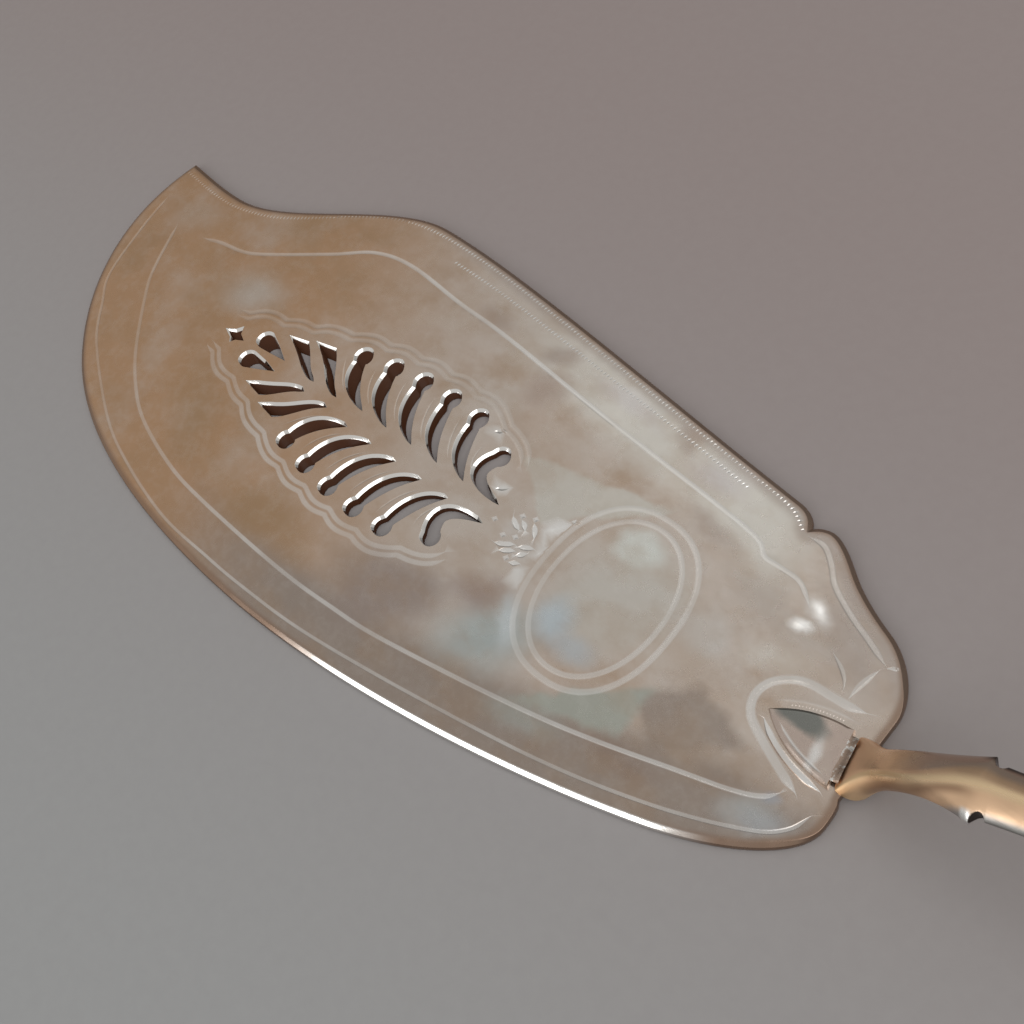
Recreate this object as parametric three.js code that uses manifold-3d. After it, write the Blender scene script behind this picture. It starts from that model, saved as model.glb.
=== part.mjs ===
import * as THREE from 'three';
import Module from 'manifold-3d';
import { mergeVertices } from 'three/addons/utils/BufferGeometryUtils.js';

// Fish server: a flat pierced silver blade, a shield-shaped heel plate, a cranked handle and its solder seam.
// Millimetres. +X runs along the blade towards the handle, +Y towards the straight back edge, +Z up.
// The blade's underside is z = 0. The origin lies under the middle of the blade's engraved oval.

// Blade sheet, measured from the origin, and the tab of it that lies under the foot of the handle
const bladeThick = 1.4;
const tipReach = 130;
const bellyWidth = 35.1;
const backWidth = 37.9;
const lobeReach = 42.7;
const lobeHalfWidth = 8.2;
const rootInset = 0.6;
const rootHalfWidth = 4.3;
const tabHalfWidth = 2.6;
const tabCover = 1.2;

// Pierced fern leaf, mirrored about the X axis, with stations counted from its tip towards the handle
const ribFirstX = -67.1;
const ribPitch = 6.0;
const ribHalf = 1.85;
const ballFirstX = -62.5;
const ballPitch = 6.5;
const ballCrestY = 11.9;
const ballCrestStation = 5.9;
const ballFall = 0.26;
const ballRadius = 1.55;
const slotNeckHalf = 0.62;
const slotSwell = 0.66;
const slotBend = 0.5;
const stripInnerHalf = 1.2;
const stripRun = 8.2;
const stripRunStep = 0.5;
const stripRise = 4.0;
const stripRiseStep = 1.8;
const stripEndHalf = 1.2;
const crescentX = -23.4;
const crescentInnerHalf = 1.9;
const crescentRun = 5.2;
const crescentRise = 6.4;
const crescentRadius = 1.5;
const crescentSwell = 0.45;
const dropX = -81.4;
const dropOffset = 2.3;
const dropLength = 6.3;
const dropEndOffset = 1.3;
const dropRadius = 1.5;
const starX = -87.6;
const starLong = 2.2;
const starShort = 1.5;
const starWaist = 0.3;

// Heel plate
const heelLength = 11.3;
const heelHalfWidth = 4.1;
const heelApexThick = 0.5;
const heelRearThick = 1.4;
const footClearance = 0.3;

// Handle, with lengths measured along its centre line from the foot, and turned a little towards the back
const handleTurn = THREE.MathUtils.degToRad(10);
const footZ = 1.0;
const neckRun = 15.6;
const neckRise = 17.2;
const archRun = 104;
const archRise = 11.6;
const archCrown = 15.5;
const footThick = 4.6;
const neckThick = 3.6;
const shoulderThick = 3.1;
const stemThick = 2.8;
const endThick = 2.0;
const footHalfWidth = 4.25;
const neckHalfWidth = 2.75;
const shoulderHalfWidth = 4.4;
const stemHalfWidth = 3.6;
const waistHalfWidth = 3.2;
const endHalfWidth = 10.5;
const neckAt = 8.6;
const shoulderAt = 22.3;
const biteLength = 1.7;
const biteDepth = 1.2;
const waistAt = 52;
const endWidestAt = 110;
const footFlatLength = 7;

// Solder seam
const seamLength = 6.4;
const seamRun = 0.9;
const seamRise = 0.8;
const seamClearance = 0.15;

// Where the blade ends behind its lobes, which is also where the handle's centre line starts
const rootX = lobeReach - rootInset;
const footX = rootX;

const silver = 0xc9c4ba;
const wasm = await Module();
wasm.setup();

function point(x, y) {
  return new THREE.Vector2(x, y);
}

// Centre line of the handle: a steep neck, then a long flat arch, in the upright plane y = 0
const centreLine = new THREE.CurvePath();
const foot = new THREE.Vector3(footX, 0, footZ);
const neckTop = new THREE.Vector3(footX + neckRun, 0, footZ + neckRise);
const neckLeave = new THREE.Vector3(footX + 0.56 * neckRun, 0, footZ + 0.87 * neckRise);
const archStart = neckTop.clone().sub(neckLeave).multiplyScalar(1.756).add(neckTop);
centreLine.add(new THREE.CubicBezierCurve3(
  foot,
  new THREE.Vector3(footX + 0.2 * neckRun, 0, footZ + 0.48 * neckRise),
  neckLeave,
  neckTop,
));
centreLine.add(new THREE.CubicBezierCurve3(
  neckTop,
  archStart,
  new THREE.Vector3(neckTop.x + 0.461 * archRun, 0, neckTop.z + archCrown),
  new THREE.Vector3(neckTop.x + archRun, 0, neckTop.z + archRise),
));
const handleLength = centreLine.getLength();

// The foot's front and back faces where they meet the blade's top
const footRise = centreLine.getTangentAt(0);
const footCentreX = footX + ((bladeThick - footZ) * footRise.x) / footRise.z;
const footReach = footThick / 2 / footRise.z;
const footFrontX = footCentreX - footReach;
const tabX = footCentreX + footReach - tabCover;
const heelApexX = footFrontX - footClearance - heelLength;

// Distance along the turned handle from the front of its foot, and a point on the blade at such a distance
function alongHandle(x, y) {
  return (x - footFrontX) * Math.cos(handleTurn) + y * Math.sin(handleTurn);
}

function beforeFoot(along, across) {
  return point(along, across).rotateAround(point(0, 0), handleTurn).add(point(footFrontX, 0));
}

function turnAboutFoot(geometry) {
  return geometry.translate(-footFrontX, 0, 0).rotateZ(handleTurn).translate(footFrontX, 0, 0);
}

// Blade outline, from the tip round the curved edge to the heel and back along the straight edge.
// Its points are shares of the blade's reach to the tip and the lobes and of its width on either side.
function bladeShape() {
  const front = (share) => -tipReach * share;
  const rear = (share) => lobeReach * share;
  const belly = (share) => -bellyWidth * share;
  const back = (share) => backWidth * share;
  const root = (share) => rootHalfWidth * share;
  const shape = new THREE.Shape();
  shape.moveTo(front(0.988), back(0.631));
  shape.bezierCurveTo(front(1.026), back(0.185), front(0.969), belly(0.262), front(0.866), belly(0.57));
  shape.bezierCurveTo(front(0.758), belly(0.895), front(0.569), belly(1), front(0.385), belly(1));
  shape.bezierCurveTo(front(0.185), belly(1), rear(0.148), belly(0.809), rear(0.59), belly(0.624));
  shape.bezierCurveTo(rear(0.768), belly(0.547), rear(1), belly(0.39), rear(1), -lobeHalfWidth);
  shape.bezierCurveTo(rear(1), root(-1.44), rear(0.998), root(-1.12), rootX, root(-1));
  shape.lineTo(rootX, -tabHalfWidth);
  shape.lineTo(tabX, -tabHalfWidth);
  shape.lineTo(tabX, tabHalfWidth);
  shape.lineTo(rootX, tabHalfWidth);
  shape.lineTo(rootX, root(1));
  shape.bezierCurveTo(rear(0.986), root(1.26), rear(0.986), root(1.53), rear(0.986), lobeHalfWidth);
  shape.bezierCurveTo(rear(0.986), back(0.317), rear(0.906), back(0.427), rear(0.815), back(0.47));
  shape.bezierCurveTo(rear(0.745), back(0.501), rear(0.67), back(0.544), rear(0.623), back(0.586));
  shape.bezierCurveTo(rear(0.585), back(0.62), rear(0.52), back(0.683), rear(0.473), back(0.686));
  shape.bezierCurveTo(rear(0.45), back(0.686), rear(0.422), back(0.675), rear(0.408), back(0.657));
  shape.bezierCurveTo(rear(0.398), back(0.686), rear(0.37), back(0.712), rear(0.328), back(0.72));
  shape.bezierCurveTo(front(0.115), back(0.823), front(0.385), back(0.992), front(0.53), back(1));
  shape.bezierCurveTo(front(0.631), back(1.011), front(0.754), back(0.612), front(0.857), back(0.596));
  shape.bezierCurveTo(front(0.9), back(0.591), front(0.946), back(0.615), front(0.988), back(0.631));
  return shape;
}

// Points along both sides of a curved slot, with its half width given at each fraction of its length
function slotSides(line, steps, reach, halfWidth) {
  const left = [];
  const right = [];
  for (let i = 1; i <= steps; i += 1) {
    const t = (reach * i) / steps;
    const middle = line.getPoint(t);
    const along = line.getTangent(t);
    const half = halfWidth(t / reach);
    left.push(point(middle.x - along.y * half, middle.y + along.x * half));
    right.push(point(middle.x + along.y * half, middle.y - along.x * half));
  }
  return { left, right };
}

// A comma slot: a point at the rib, a swelling body and a round ball at its outer end
function commaSlot(inner, bend, outer, neckHalf, swell, radius) {
  const line = new THREE.QuadraticBezierCurve(inner, bend, outer);
  const gape = Math.asin(Math.min(neckHalf / radius, 0.98));
  const reach = 1 - (radius * Math.cos(gape)) / line.getLength();
  const sides = slotSides(line, 7, reach, (u) => neckHalf * u + 4 * swell * u * (1 - u));
  const heading = line.getTangent(1).angle();
  const ball = [];
  const turn = 2 * (Math.PI - gape);
  const arcSteps = 9;
  for (let i = 1; i < arcSteps; i += 1) {
    const angle = heading + Math.PI - gape - (turn * i) / arcSteps;
    ball.push(point(outer.x + radius * Math.cos(angle), outer.y + radius * Math.sin(angle)));
  }
  return [inner, ...sides.left, ...ball, ...sides.right.reverse()];
}

// A strip slot: a point at the rib that widens along a double bend to a square outer end
function stripSlot(inner, run, rise, endHalf) {
  const line = new THREE.CubicBezierCurve(
    inner,
    point(inner.x - 0.42 * run, inner.y + 0.12 * rise),
    point(inner.x - 0.62 * run, inner.y + 0.86 * rise),
    point(inner.x - run, inner.y + rise),
  );
  const sides = slotSides(line, 7, 1, (u) => endHalf * Math.pow(u, 0.6));
  return [inner, ...sides.left, ...sides.right.reverse()];
}

// A teardrop: a round head at the tip side drawn out to a point
function dropSlot(head, radius, end) {
  const axis = point(end.x - head.x, end.y - head.y);
  const spread = Math.acos(radius / axis.length());
  const outline = [end];
  const arcSteps = 10;
  for (let i = 0; i <= arcSteps; i += 1) {
    const angle = axis.angle() + spread + ((2 * Math.PI - 2 * spread) * i) / arcSteps;
    outline.push(point(head.x + radius * Math.cos(angle), head.y + radius * Math.sin(angle)));
  }
  return outline;
}

// All slots on the +Y side of the leaf
function leafSide() {
  const slots = [dropSlot(point(dropX, dropOffset), dropRadius, point(dropX + dropLength, dropEndOffset))];
  const ribX = (k) => ribFirstX + ribPitch * (k - 1);
  for (let k = 1; k <= 2; k += 1) {
    const start = point(ribX(k), stripInnerHalf);
    const run = stripRun + stripRunStep * (k - 1);
    const rise = stripRise + stripRiseStep * (k - 1);
    slots.push(stripSlot(start, run, rise, stripEndHalf));
  }
  for (let k = 3; k <= 7; k += 1) {
    const start = point(ribX(k), ribHalf);
    const crestDistance = k - ballCrestStation;
    const ballY = ballCrestY - ballFall * crestDistance * crestDistance;
    const ball = point(ballFirstX + ballPitch * (k - 3), ballY);
    const bend = point(ball.x + slotBend, start.y + 0.28 * (ball.y - start.y));
    slots.push(commaSlot(start, bend, ball, slotNeckHalf, slotSwell, ballRadius));
  }
  const start = point(crescentX, crescentInnerHalf);
  const ball = point(start.x - crescentRun, start.y + crescentRise);
  const bend = point(start.x - 1.82 * crescentRun, start.y + 0.16 * crescentRise);
  slots.push(commaSlot(start, bend, ball, 0.85 * crescentRadius, crescentSwell, crescentRadius));
  return slots;
}

// A four-pointed star with hollow sides at the leaf's tip
function starHole() {
  const outline = [];
  for (let i = 0; i < 8; i += 1) {
    const angle = (Math.PI / 4) * i;
    const long = i % 4 === 0 ? starLong : starShort;
    const reach = i % 2 === 0 ? long : starShort * (starWaist + 0.3);
    outline.push(point(starX + reach * Math.cos(angle), reach * Math.sin(angle)));
  }
  return outline;
}

function makeBlade() {
  const shape = bladeShape();
  const slots = leafSide();
  const mirrored = slots.map((outline) => outline.map((p) => point(p.x, -p.y)).reverse());
  for (const outline of [...slots, ...mirrored, starHole()]) {
    shape.holes.push(new THREE.Path(outline));
  }
  return new THREE.ExtrudeGeometry(shape, { depth: bladeThick, bevelEnabled: false, curveSegments: 9 });
}

// Heel plate: a pointed shield that thickens towards the handle and ends along the front of its foot
function heelTop(along) {
  const apexAlong = alongHandle(heelApexX, 0);
  const share = (along - apexAlong) / (-footClearance - apexAlong);
  return bladeThick + THREE.MathUtils.lerp(heelApexThick, heelRearThick, share);
}

function makeHeelPlate() {
  const shape = new THREE.Shape();
  const armX = heelApexX + 0.15 * heelLength;
  const armY = 0.38 * heelHalfWidth;
  const bodyX = heelApexX + 0.48 * heelLength;
  const low = beforeFoot(-footClearance, -heelHalfWidth);
  const high = beforeFoot(-footClearance, heelHalfWidth);
  shape.moveTo(heelApexX, 0);
  shape.bezierCurveTo(armX, -armY, bodyX, low.y, low.x, low.y);
  shape.lineTo(high.x, high.y);
  shape.bezierCurveTo(bodyX, high.y, armX, armY, heelApexX, 0);
  const plate = new THREE.ExtrudeGeometry(shape, { depth: 1, bevelEnabled: false, curveSegments: 14 });
  const spots = plate.getAttribute('position');
  for (let i = 0; i < spots.count; i += 1) {
    const top = spots.getZ(i) > 0.5;
    spots.setZ(i, top ? heelTop(alongHandle(spots.getX(i), spots.getY(i))) : bladeThick);
  }
  return plate;
}

// Half width of the handle against the distance along it
function handleEdge() {
  const edge = new THREE.Path();
  const biteEnd = shoulderAt + biteLength;
  const biteFloor = shoulderHalfWidth - biteDepth;
  const flare = shoulderAt - neckAt;
  const third = (waistAt - biteEnd) / 3;
  const spread = endWidestAt - waistAt;
  edge.moveTo(0, footHalfWidth);
  edge.bezierCurveTo(0.3 * neckAt, 0.8 * footHalfWidth, 0.6 * neckAt, neckHalfWidth, neckAt, neckHalfWidth);
  edge.bezierCurveTo(neckAt + 0.47 * flare, neckHalfWidth,
    shoulderAt - 0.27 * flare, 0.72 * shoulderHalfWidth, shoulderAt, shoulderHalfWidth);
  edge.bezierCurveTo(shoulderAt, biteFloor, shoulderAt, biteFloor, shoulderAt + 0.5 * biteLength, biteFloor);
  edge.bezierCurveTo(biteEnd, biteFloor, biteEnd, biteFloor, biteEnd, stemHalfWidth);
  edge.bezierCurveTo(biteEnd + third, waistHalfWidth,
    waistAt - third, waistHalfWidth, waistAt, waistHalfWidth);
  edge.bezierCurveTo(waistAt + 0.45 * spread, waistHalfWidth, endWidestAt - 0.28 * spread, endHalfWidth,
    endWidestAt, endHalfWidth);
  const round = handleLength - endWidestAt;
  const roundSteps = 8;
  for (let i = 1; i < roundSteps; i += 1) {
    const angle = (Math.PI / 2) * (i / roundSteps);
    edge.lineTo(endWidestAt + round * Math.sin(angle), endHalfWidth * Math.cos(angle));
  }
  return edge.getPoints(8);
}

// Thickness of the handle against the distance along it, from the foot to the end
function handleThick(at) {
  const stations = [0, neckAt, shoulderAt, waistAt, handleLength];
  const sizes = [footThick, neckThick, shoulderThick, stemThick, endThick];
  for (let i = 1; i < stations.length; i += 1) {
    if (at <= stations[i]) {
      const part = (at - stations[i - 1]) / (stations[i] - stations[i - 1]);
      return THREE.MathUtils.lerp(sizes[i - 1], sizes[i], THREE.MathUtils.smoothstep(part, 0, 1));
    }
  }
  return endThick;
}

// How flat the handle's top is: flat at the foot, ridged along the neck and stem, and softer at the end
function topFlatness(at) {
  const footPart = 1 - THREE.MathUtils.smoothstep(at, 0, footFlatLength);
  const endPart = 0.6 * THREE.MathUtils.smoothstep(at, waistAt, endWidestAt);
  return Math.max(footPart, endPart);
}

// Corners of the handle's cross-section, as shares of its half width and half thickness
function sectionCorners(flat) {
  const bevelX = 0.55 + 0.3 * flat;
  const bevelLift = 0.68 + 0.3 * flat;
  const sideLift = 0.15 + 0.4 * flat;
  return [
    point(1, sideLift),
    point(bevelX, bevelLift),
    point(0, 1),
    point(-bevelX, bevelLift),
    point(-1, sideLift),
    point(-1, -0.55),
    point(-0.6, -1),
    point(0.6, -1),
    point(1, -0.55),
  ];
}

function makeHandle() {
  const stations = handleEdge();
  const vertices = [];
  for (const station of stations) {
    const part = Math.min(station.x / handleLength, 1);
    const middle = centreLine.getPointAt(part);
    const along = centreLine.getTangentAt(part);
    const half = handleThick(station.x) / 2;
    for (const corner of sectionCorners(topFlatness(station.x))) {
      const lift = half * corner.y;
      vertices.push(middle.x - along.z * lift, station.y * corner.x, middle.z + along.x * lift);
    }
  }
  const triangles = [];
  const sectionPoints = sectionCorners(0).length;
  const last = (stations.length - 1) * sectionPoints;
  for (let i = 0; i < stations.length - 1; i += 1) {
    for (let j = 0; j < sectionPoints; j += 1) {
      const a = i * sectionPoints + j;
      const b = i * sectionPoints + ((j + 1) % sectionPoints);
      triangles.push(a, b, b + sectionPoints, a, b + sectionPoints, a + sectionPoints);
    }
  }
  for (let j = 1; j < sectionPoints - 1; j += 1) {
    triangles.push(0, j + 1, j, last, last + j, last + j + 1);
  }
  const loft = new THREE.BufferGeometry();
  loft.setAttribute('position', new THREE.Float32BufferAttribute(vertices, 3));
  loft.setIndex(triangles);
  return turnAboutFoot(cutLevel(loft, bladeThick));
}

// Keeps what lies above a level, so that the foot stands flat on the blade
function cutLevel(geometry, level) {
  const merged = mergeVertices(geometry);
  const body = new wasm.Manifold(new wasm.Mesh({
    numProp: 3,
    vertProperties: new Float32Array(merged.getAttribute('position').array),
    triVerts: new Uint32Array(merged.index.array),
  }));
  const cut = body.trimByPlane([0, 0, 1], level).getMesh();
  const result = new THREE.BufferGeometry();
  result.setAttribute('position', new THREE.BufferAttribute(new Float32Array(cut.vertProperties), 3));
  result.setIndex(new THREE.BufferAttribute(new Uint32Array(cut.triVerts), 1));
  return result;
}

// Solder seam: a fillet that lies on the heel plate's rear edge, close to the front of the foot
function makeSolderSeam() {
  const rearX = footFrontX - footClearance;
  const startX = rearX - seamRun;
  const startZ = heelTop(startX - footFrontX);
  const rearZ = heelTop(rearX - footFrontX);
  const lean = footRise.x / footRise.z;
  const faceX = (z) => footFrontX - seamClearance + (z - bladeThick) * lean;
  const crestZ = rearZ + seamRise;
  const shape = new THREE.Shape();
  shape.moveTo(startX, startZ);
  shape.lineTo(rearX, rearZ);
  shape.lineTo(faceX(rearZ), rearZ);
  shape.lineTo(faceX(crestZ), crestZ);
  shape.quadraticCurveTo(startX + 0.6 * seamRun, crestZ - 0.2 * seamRise, startX, startZ);
  const seam = new THREE.ExtrudeGeometry(shape, { depth: seamLength, bevelEnabled: false, curveSegments: 6 });
  seam.rotateX(Math.PI / 2);
  seam.translate(0, seamLength / 2, 0);
  return turnAboutFoot(seam);
}

function addMesh(group, name, geometry, colour, roughness) {
  geometry.deleteAttribute('uv');
  geometry.deleteAttribute('normal');
  const closed = mergeVertices(geometry);
  closed.computeVertexNormals();
  const material = new THREE.MeshStandardMaterial({ color: colour, metalness: 1, roughness });
  const mesh = new THREE.Mesh(closed, material);
  mesh.name = name;
  group.add(mesh);
}

const server = new THREE.Group();
addMesh(server, 'blade', makeBlade(), silver, 0.28);
addMesh(server, 'heel_plate', makeHeelPlate(), silver, 0.28);
addMesh(server, 'handle', makeHandle(), silver, 0.22);
addMesh(server, 'solder_seam', makeSolderSeam(), 0xd8d4cc, 0.4);

export default server;
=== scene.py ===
import math

import bmesh
import bpy
import numpy as np
from mathutils import Matrix, Vector, noise
from mathutils.geometry import delaunay_2d_cdt
from mathutils.kdtree import KDTree


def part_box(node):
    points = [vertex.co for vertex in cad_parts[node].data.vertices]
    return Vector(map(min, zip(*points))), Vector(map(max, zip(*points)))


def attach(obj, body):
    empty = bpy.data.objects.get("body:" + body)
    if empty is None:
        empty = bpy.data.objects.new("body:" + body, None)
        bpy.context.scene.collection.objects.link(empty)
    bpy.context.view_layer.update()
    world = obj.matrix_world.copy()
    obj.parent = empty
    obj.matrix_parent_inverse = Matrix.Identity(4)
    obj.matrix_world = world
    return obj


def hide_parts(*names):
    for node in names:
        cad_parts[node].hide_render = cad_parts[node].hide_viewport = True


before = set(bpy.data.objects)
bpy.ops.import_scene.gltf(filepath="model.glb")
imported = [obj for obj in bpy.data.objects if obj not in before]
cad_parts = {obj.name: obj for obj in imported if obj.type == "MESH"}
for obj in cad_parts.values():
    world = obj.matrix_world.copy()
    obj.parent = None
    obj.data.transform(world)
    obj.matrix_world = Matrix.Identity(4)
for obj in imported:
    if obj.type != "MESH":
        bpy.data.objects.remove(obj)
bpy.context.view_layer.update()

# Fish server: the looks of a pierced, engraved silver blade, its heel plate, its handle and its solder seam.
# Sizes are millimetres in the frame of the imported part, and meshes are scaled to metres when they are made.
MM = 0.001

# Blade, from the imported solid
blade_low, blade_high = (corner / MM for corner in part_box("blade"))
TIP_REACH = -blade_low.x
BELLY_WIDTH = -blade_low.y
BACK_WIDTH = blade_high.y
THICK = blade_high.z
TAB_X = blade_high.x

# Blade, as in the solid's source
LOBE_REACH = 42.7
LOBE_HALF_WIDTH = 8.2
ROOT_X = 42.1
ROOT_HALF_WIDTH = 4.3
TAB_HALF_WIDTH = 2.6

# Worn edges of the blade and of its slots, with steps as pairs of an inset and a depth
RIM_ROUND = 0.9
RIM_DEPTH = 0.9
RIM_FLAT = 0.3
RIM_STEPS = ((0.85, 0.02), (0.55, 0.2), (0.2, 0.45), (0.06, 0.68), (0.0, 0.95))
UNDER_EDGE = 0.16
ROOT_SHARP_AREA = (5.0, 9.0)
ROOT_SHARP_RIM = 0.25
BEVEL_WIDE = 0.56
BEVEL_NARROW = 0.12
BEVEL_DEPTH = 0.36
BEVEL_STEPS = ((0.85, 0.05), (0.5, 0.42), (0.15, 0.82), (0.0, 1.0))
BEVEL_SIDE = (-0.83, 0.55)
SLOT_WALL_STEPS = ((0.0, 0.04), (0.0, 0.9), (0.1, 1.0))
SLOT_LEAN_TIP = 2.8
SLOT_LEAN_HEEL = 0.25
LEAN_FROM_X = -30.0
LEAN_TO_X = -72.0
LEAN_HEADING = (0.94, -0.34)
LEAN_UPPER_ROW = 1.15
LEAN_LOWER_ROW = 0.75
LEAN_ROW_BLEND = 3.0
NECK_WEAR = 0.38
STRIP_LONG_CORNER = (-2.1, 1.45)
STRIP_SHORT_CORNER = (1.1, -0.25)

# Pierced fern leaf, as in the solid's source
RIB_FIRST_X = -67.1
RIB_PITCH = 6.0
RIB_HALF = 1.85
BALL_FIRST_X = -62.5
BALL_PITCH = 6.5
BALL_CREST_Y = 11.9
BALL_CREST_STATION = 5.9
BALL_FALL = 0.26
BALL_RADIUS = 1.55
SLOT_NECK_HALF = 0.62
SLOT_SWELL = 0.66
SLOT_BEND = 0.5
STRIP_INNER_HALF = 1.2
STRIP_RUN = 8.2
STRIP_RUN_STEP = 0.5
STRIP_RISE = 4.0
STRIP_RISE_STEP = 1.8
STRIP_END_HALF = 1.2
CRESCENT_X = -23.4
CRESCENT_INNER_HALF = 1.9
CRESCENT_RUN = 5.2
CRESCENT_RISE = 6.4
CRESCENT_RADIUS = 1.5
CRESCENT_SWELL = 0.45
DROP_X = -81.4
DROP_OFFSET = 2.3
DROP_LENGTH = 6.3
DROP_END_OFFSET = 1.3
DROP_RADIUS = 1.5
STAR_X = -87.6
STAR_LONG = 2.2
STAR_SHORT = 1.5
STAR_WAIST = 0.6

# Fineness of the meshes: spacings in millimetres, and the least angle of a sharp edge in degrees
OUTLINE_STEP = 0.8
LINE_STEP = 0.7
SHORT_STEP = 0.4
HEEL_STEP = 0.5
BLADE_GRID = 2.2
BLADE_GRID_CLEARANCE = 0.7
HEEL_GRID = 0.8
HEEL_GRID_CLEARANCE = 0.35
PLATE_SHARP = 12
HANDLE_SHARP = 32
SOLDER_SHARP = 50
MOST_EXTRA_POINTS = 12

# Engraving
GROOVE_PROFILE = ((1.0, 0.0), (0.6, 0.8), (0.0, 1.0), (-0.6, 0.8), (-1.0, 0.0))
FINE_GROOVE = 0.32
TICK_PITCH = 0.75
TICK_HALF_WIDTH = 0.2
TICK_DEPTH = 0.07
TICK_SLANT = 0.25
TICK_RIM = 1.2
SCALLOP_INNER = 3.2
SCALLOP_OUTER = 4.5
SCALLOP_DIP = 0.75
OVAL_CENTRE = (0.0, -0.35)
OVAL_INNER = (9.4, 12.9)
OVAL_OUTER = (11.5, 14.7)

# Heel plate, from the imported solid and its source
heel_low, heel_high = (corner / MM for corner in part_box("heel_plate"))
HEEL_APEX_X = heel_low.x
HEEL_LENGTH = 11.3
HEEL_HALF_WIDTH = 4.1
HEEL_APEX_THICK = 0.5
HEEL_REAR_THICK = heel_high.z - THICK

# Handle, as in the solid's source
HANDLE_TURN = math.radians(10)
FOOT_X = ROOT_X
FOOT_Z = 1.0
FOOT_CLEARANCE = 0.3
FOOT_FRONT_X = HEEL_APEX_X + HEEL_LENGTH + FOOT_CLEARANCE
FOOT_FLAT_LENGTH = 7.0
NECK_RUN = 15.6
NECK_RISE = 17.2
ARCH_RUN = 104.0
ARCH_RISE = 11.6
ARCH_CROWN = 15.5
FOOT_THICK = 4.6
NECK_THICK = 3.6
SHOULDER_THICK = 3.1
STEM_THICK = 2.8
END_THICK = 2.0
FOOT_HALF_WIDTH = 4.25
NECK_HALF_WIDTH = 2.75
SHOULDER_HALF_WIDTH = 4.4
STEM_HALF_WIDTH = 3.6
WAIST_HALF_WIDTH = 3.2
END_HALF_WIDTH = 10.5
NECK_AT = 8.6
SHOULDER_AT = 22.3
BITE_LENGTH = 1.7
BITE_DEPTH = 1.2
WAIST_AT = 52.0
END_WIDEST_AT = 110.0

# Solder seam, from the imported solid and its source
seam_low, seam_high = (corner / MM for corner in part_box("solder_seam"))
SEAM_LENGTH = 6.4
SEAM_RUN = 0.9
SEAM_STEPS = 40
SEAM_FRONT = -FOOT_CLEARANCE - 0.45 * SEAM_RUN
SEAM_SECTION = ((SEAM_FRONT, 0.04), (-0.42, 0.1), (-0.12, 0.24), (0.2, 0.52), (0.5, 0.86), (0.7, 1.0),
                (0.66, 0.8), (0.36, 0.1), (-0.28, 0.08), (SEAM_FRONT + 0.1, 0.0))


def bezier(start, lead, follow, end, steps=60):
    """Points along one cubic curve."""
    t = np.linspace(0, 1, steps + 1)[:, None]
    a, b, c, d = (np.array(p, float) for p in (start, lead, follow, end))
    return a * (1 - t) ** 3 + 3 * b * t * (1 - t) ** 2 + 3 * c * t * t * (1 - t) + d * t ** 3


def distances(line):
    """How far along a line each of its points lies."""
    return np.concatenate([[0], np.cumsum(np.linalg.norm(np.diff(line, axis=0), axis=1))])


def resample(points, spacing):
    """The same open line with points at even distances."""
    along = distances(points)
    count = max(2, int(round(along[-1] / spacing)) + 1)
    even = np.linspace(0, along[-1], count)
    return np.stack([np.interp(even, along, points[:, axis]) for axis in range(points.shape[1])], 1)


def smooth_line(points, spacing=LINE_STEP):
    """A curve through given points, with points at even distances."""
    p = np.array(points, float)
    p = np.concatenate([[2 * p[0] - p[1]], p, [2 * p[-1] - p[-2]]])
    t = np.linspace(0, 1, 16, endpoint=False)[:, None]
    pieces = []
    for a, b, c, d in zip(p[:-3], p[1:-2], p[2:-1], p[3:]):
        pieces.append(b + 0.5 * t * (c - a) + t * t * (a - 2.5 * b + 2 * c - 0.5 * d)
                      + t ** 3 * (1.5 * (b - c) + 0.5 * (d - a)))
    return resample(np.concatenate(pieces + [p[-2:-1]]), spacing)


def left_normals(points, closed, longest=1.5):
    """Normals to the left of a line, lengthened at corners so that both sides shift by one distance."""
    ahead = np.roll(points, -1, 0) - points
    behind = points - np.roll(points, 1, 0)
    if not closed:
        ahead[-1] = behind[-1]
        behind[0] = ahead[0]
    ahead /= np.linalg.norm(ahead, axis=1, keepdims=True)
    behind /= np.linalg.norm(behind, axis=1, keepdims=True)
    middle = ahead + behind
    middle /= np.maximum(np.linalg.norm(middle, axis=1, keepdims=True), 1e-6)
    turn = np.clip((middle * ahead).sum(1), 1 / longest, 1)
    return np.stack([-middle[:, 1], middle[:, 0]], 1) / turn[:, None]


def shift(points, distance, closed=True):
    """The line moved to its left by a distance, or by one distance for each point."""
    return points + left_normals(points, closed) * np.reshape(distance, (-1, 1))


def inside(points, loop):
    """Which points lie inside a closed loop."""
    x, y = points[:, 0:1], points[:, 1:2]
    ax, ay = loop[:, 0], loop[:, 1]
    bx, by = np.roll(ax, -1), np.roll(ay, -1)
    crosses = (ay > y) != (by > y)
    at = ax + (y - ay) * (bx - ax) / np.where(by == ay, 1e-9, by - ay)
    return (crosses & (x < at)).sum(1) % 2 == 1


def clockwise(points):
    """A closed loop turned so that what lies to its left is outside it."""
    loop = np.array(points, float)
    area = (loop[:, 0] * np.roll(loop[:, 1], -1) - np.roll(loop[:, 0], -1) * loop[:, 1]).sum()
    return loop[::-1] if area > 0 else loop


def ease(value, low, high):
    """A smooth step from 0 at low to 1 at high."""
    share = np.clip((value - low) / (high - low), 0, 1)
    return share * share * (3 - 2 * share)


def from_foot(along, across):
    """The place that lies so far along and across the turned handle from the front of its foot."""
    ahead, aside = math.cos(HANDLE_TURN), math.sin(HANDLE_TURN)
    return FOOT_FRONT_X + along * ahead - across * aside, along * aside + across * ahead


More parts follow.
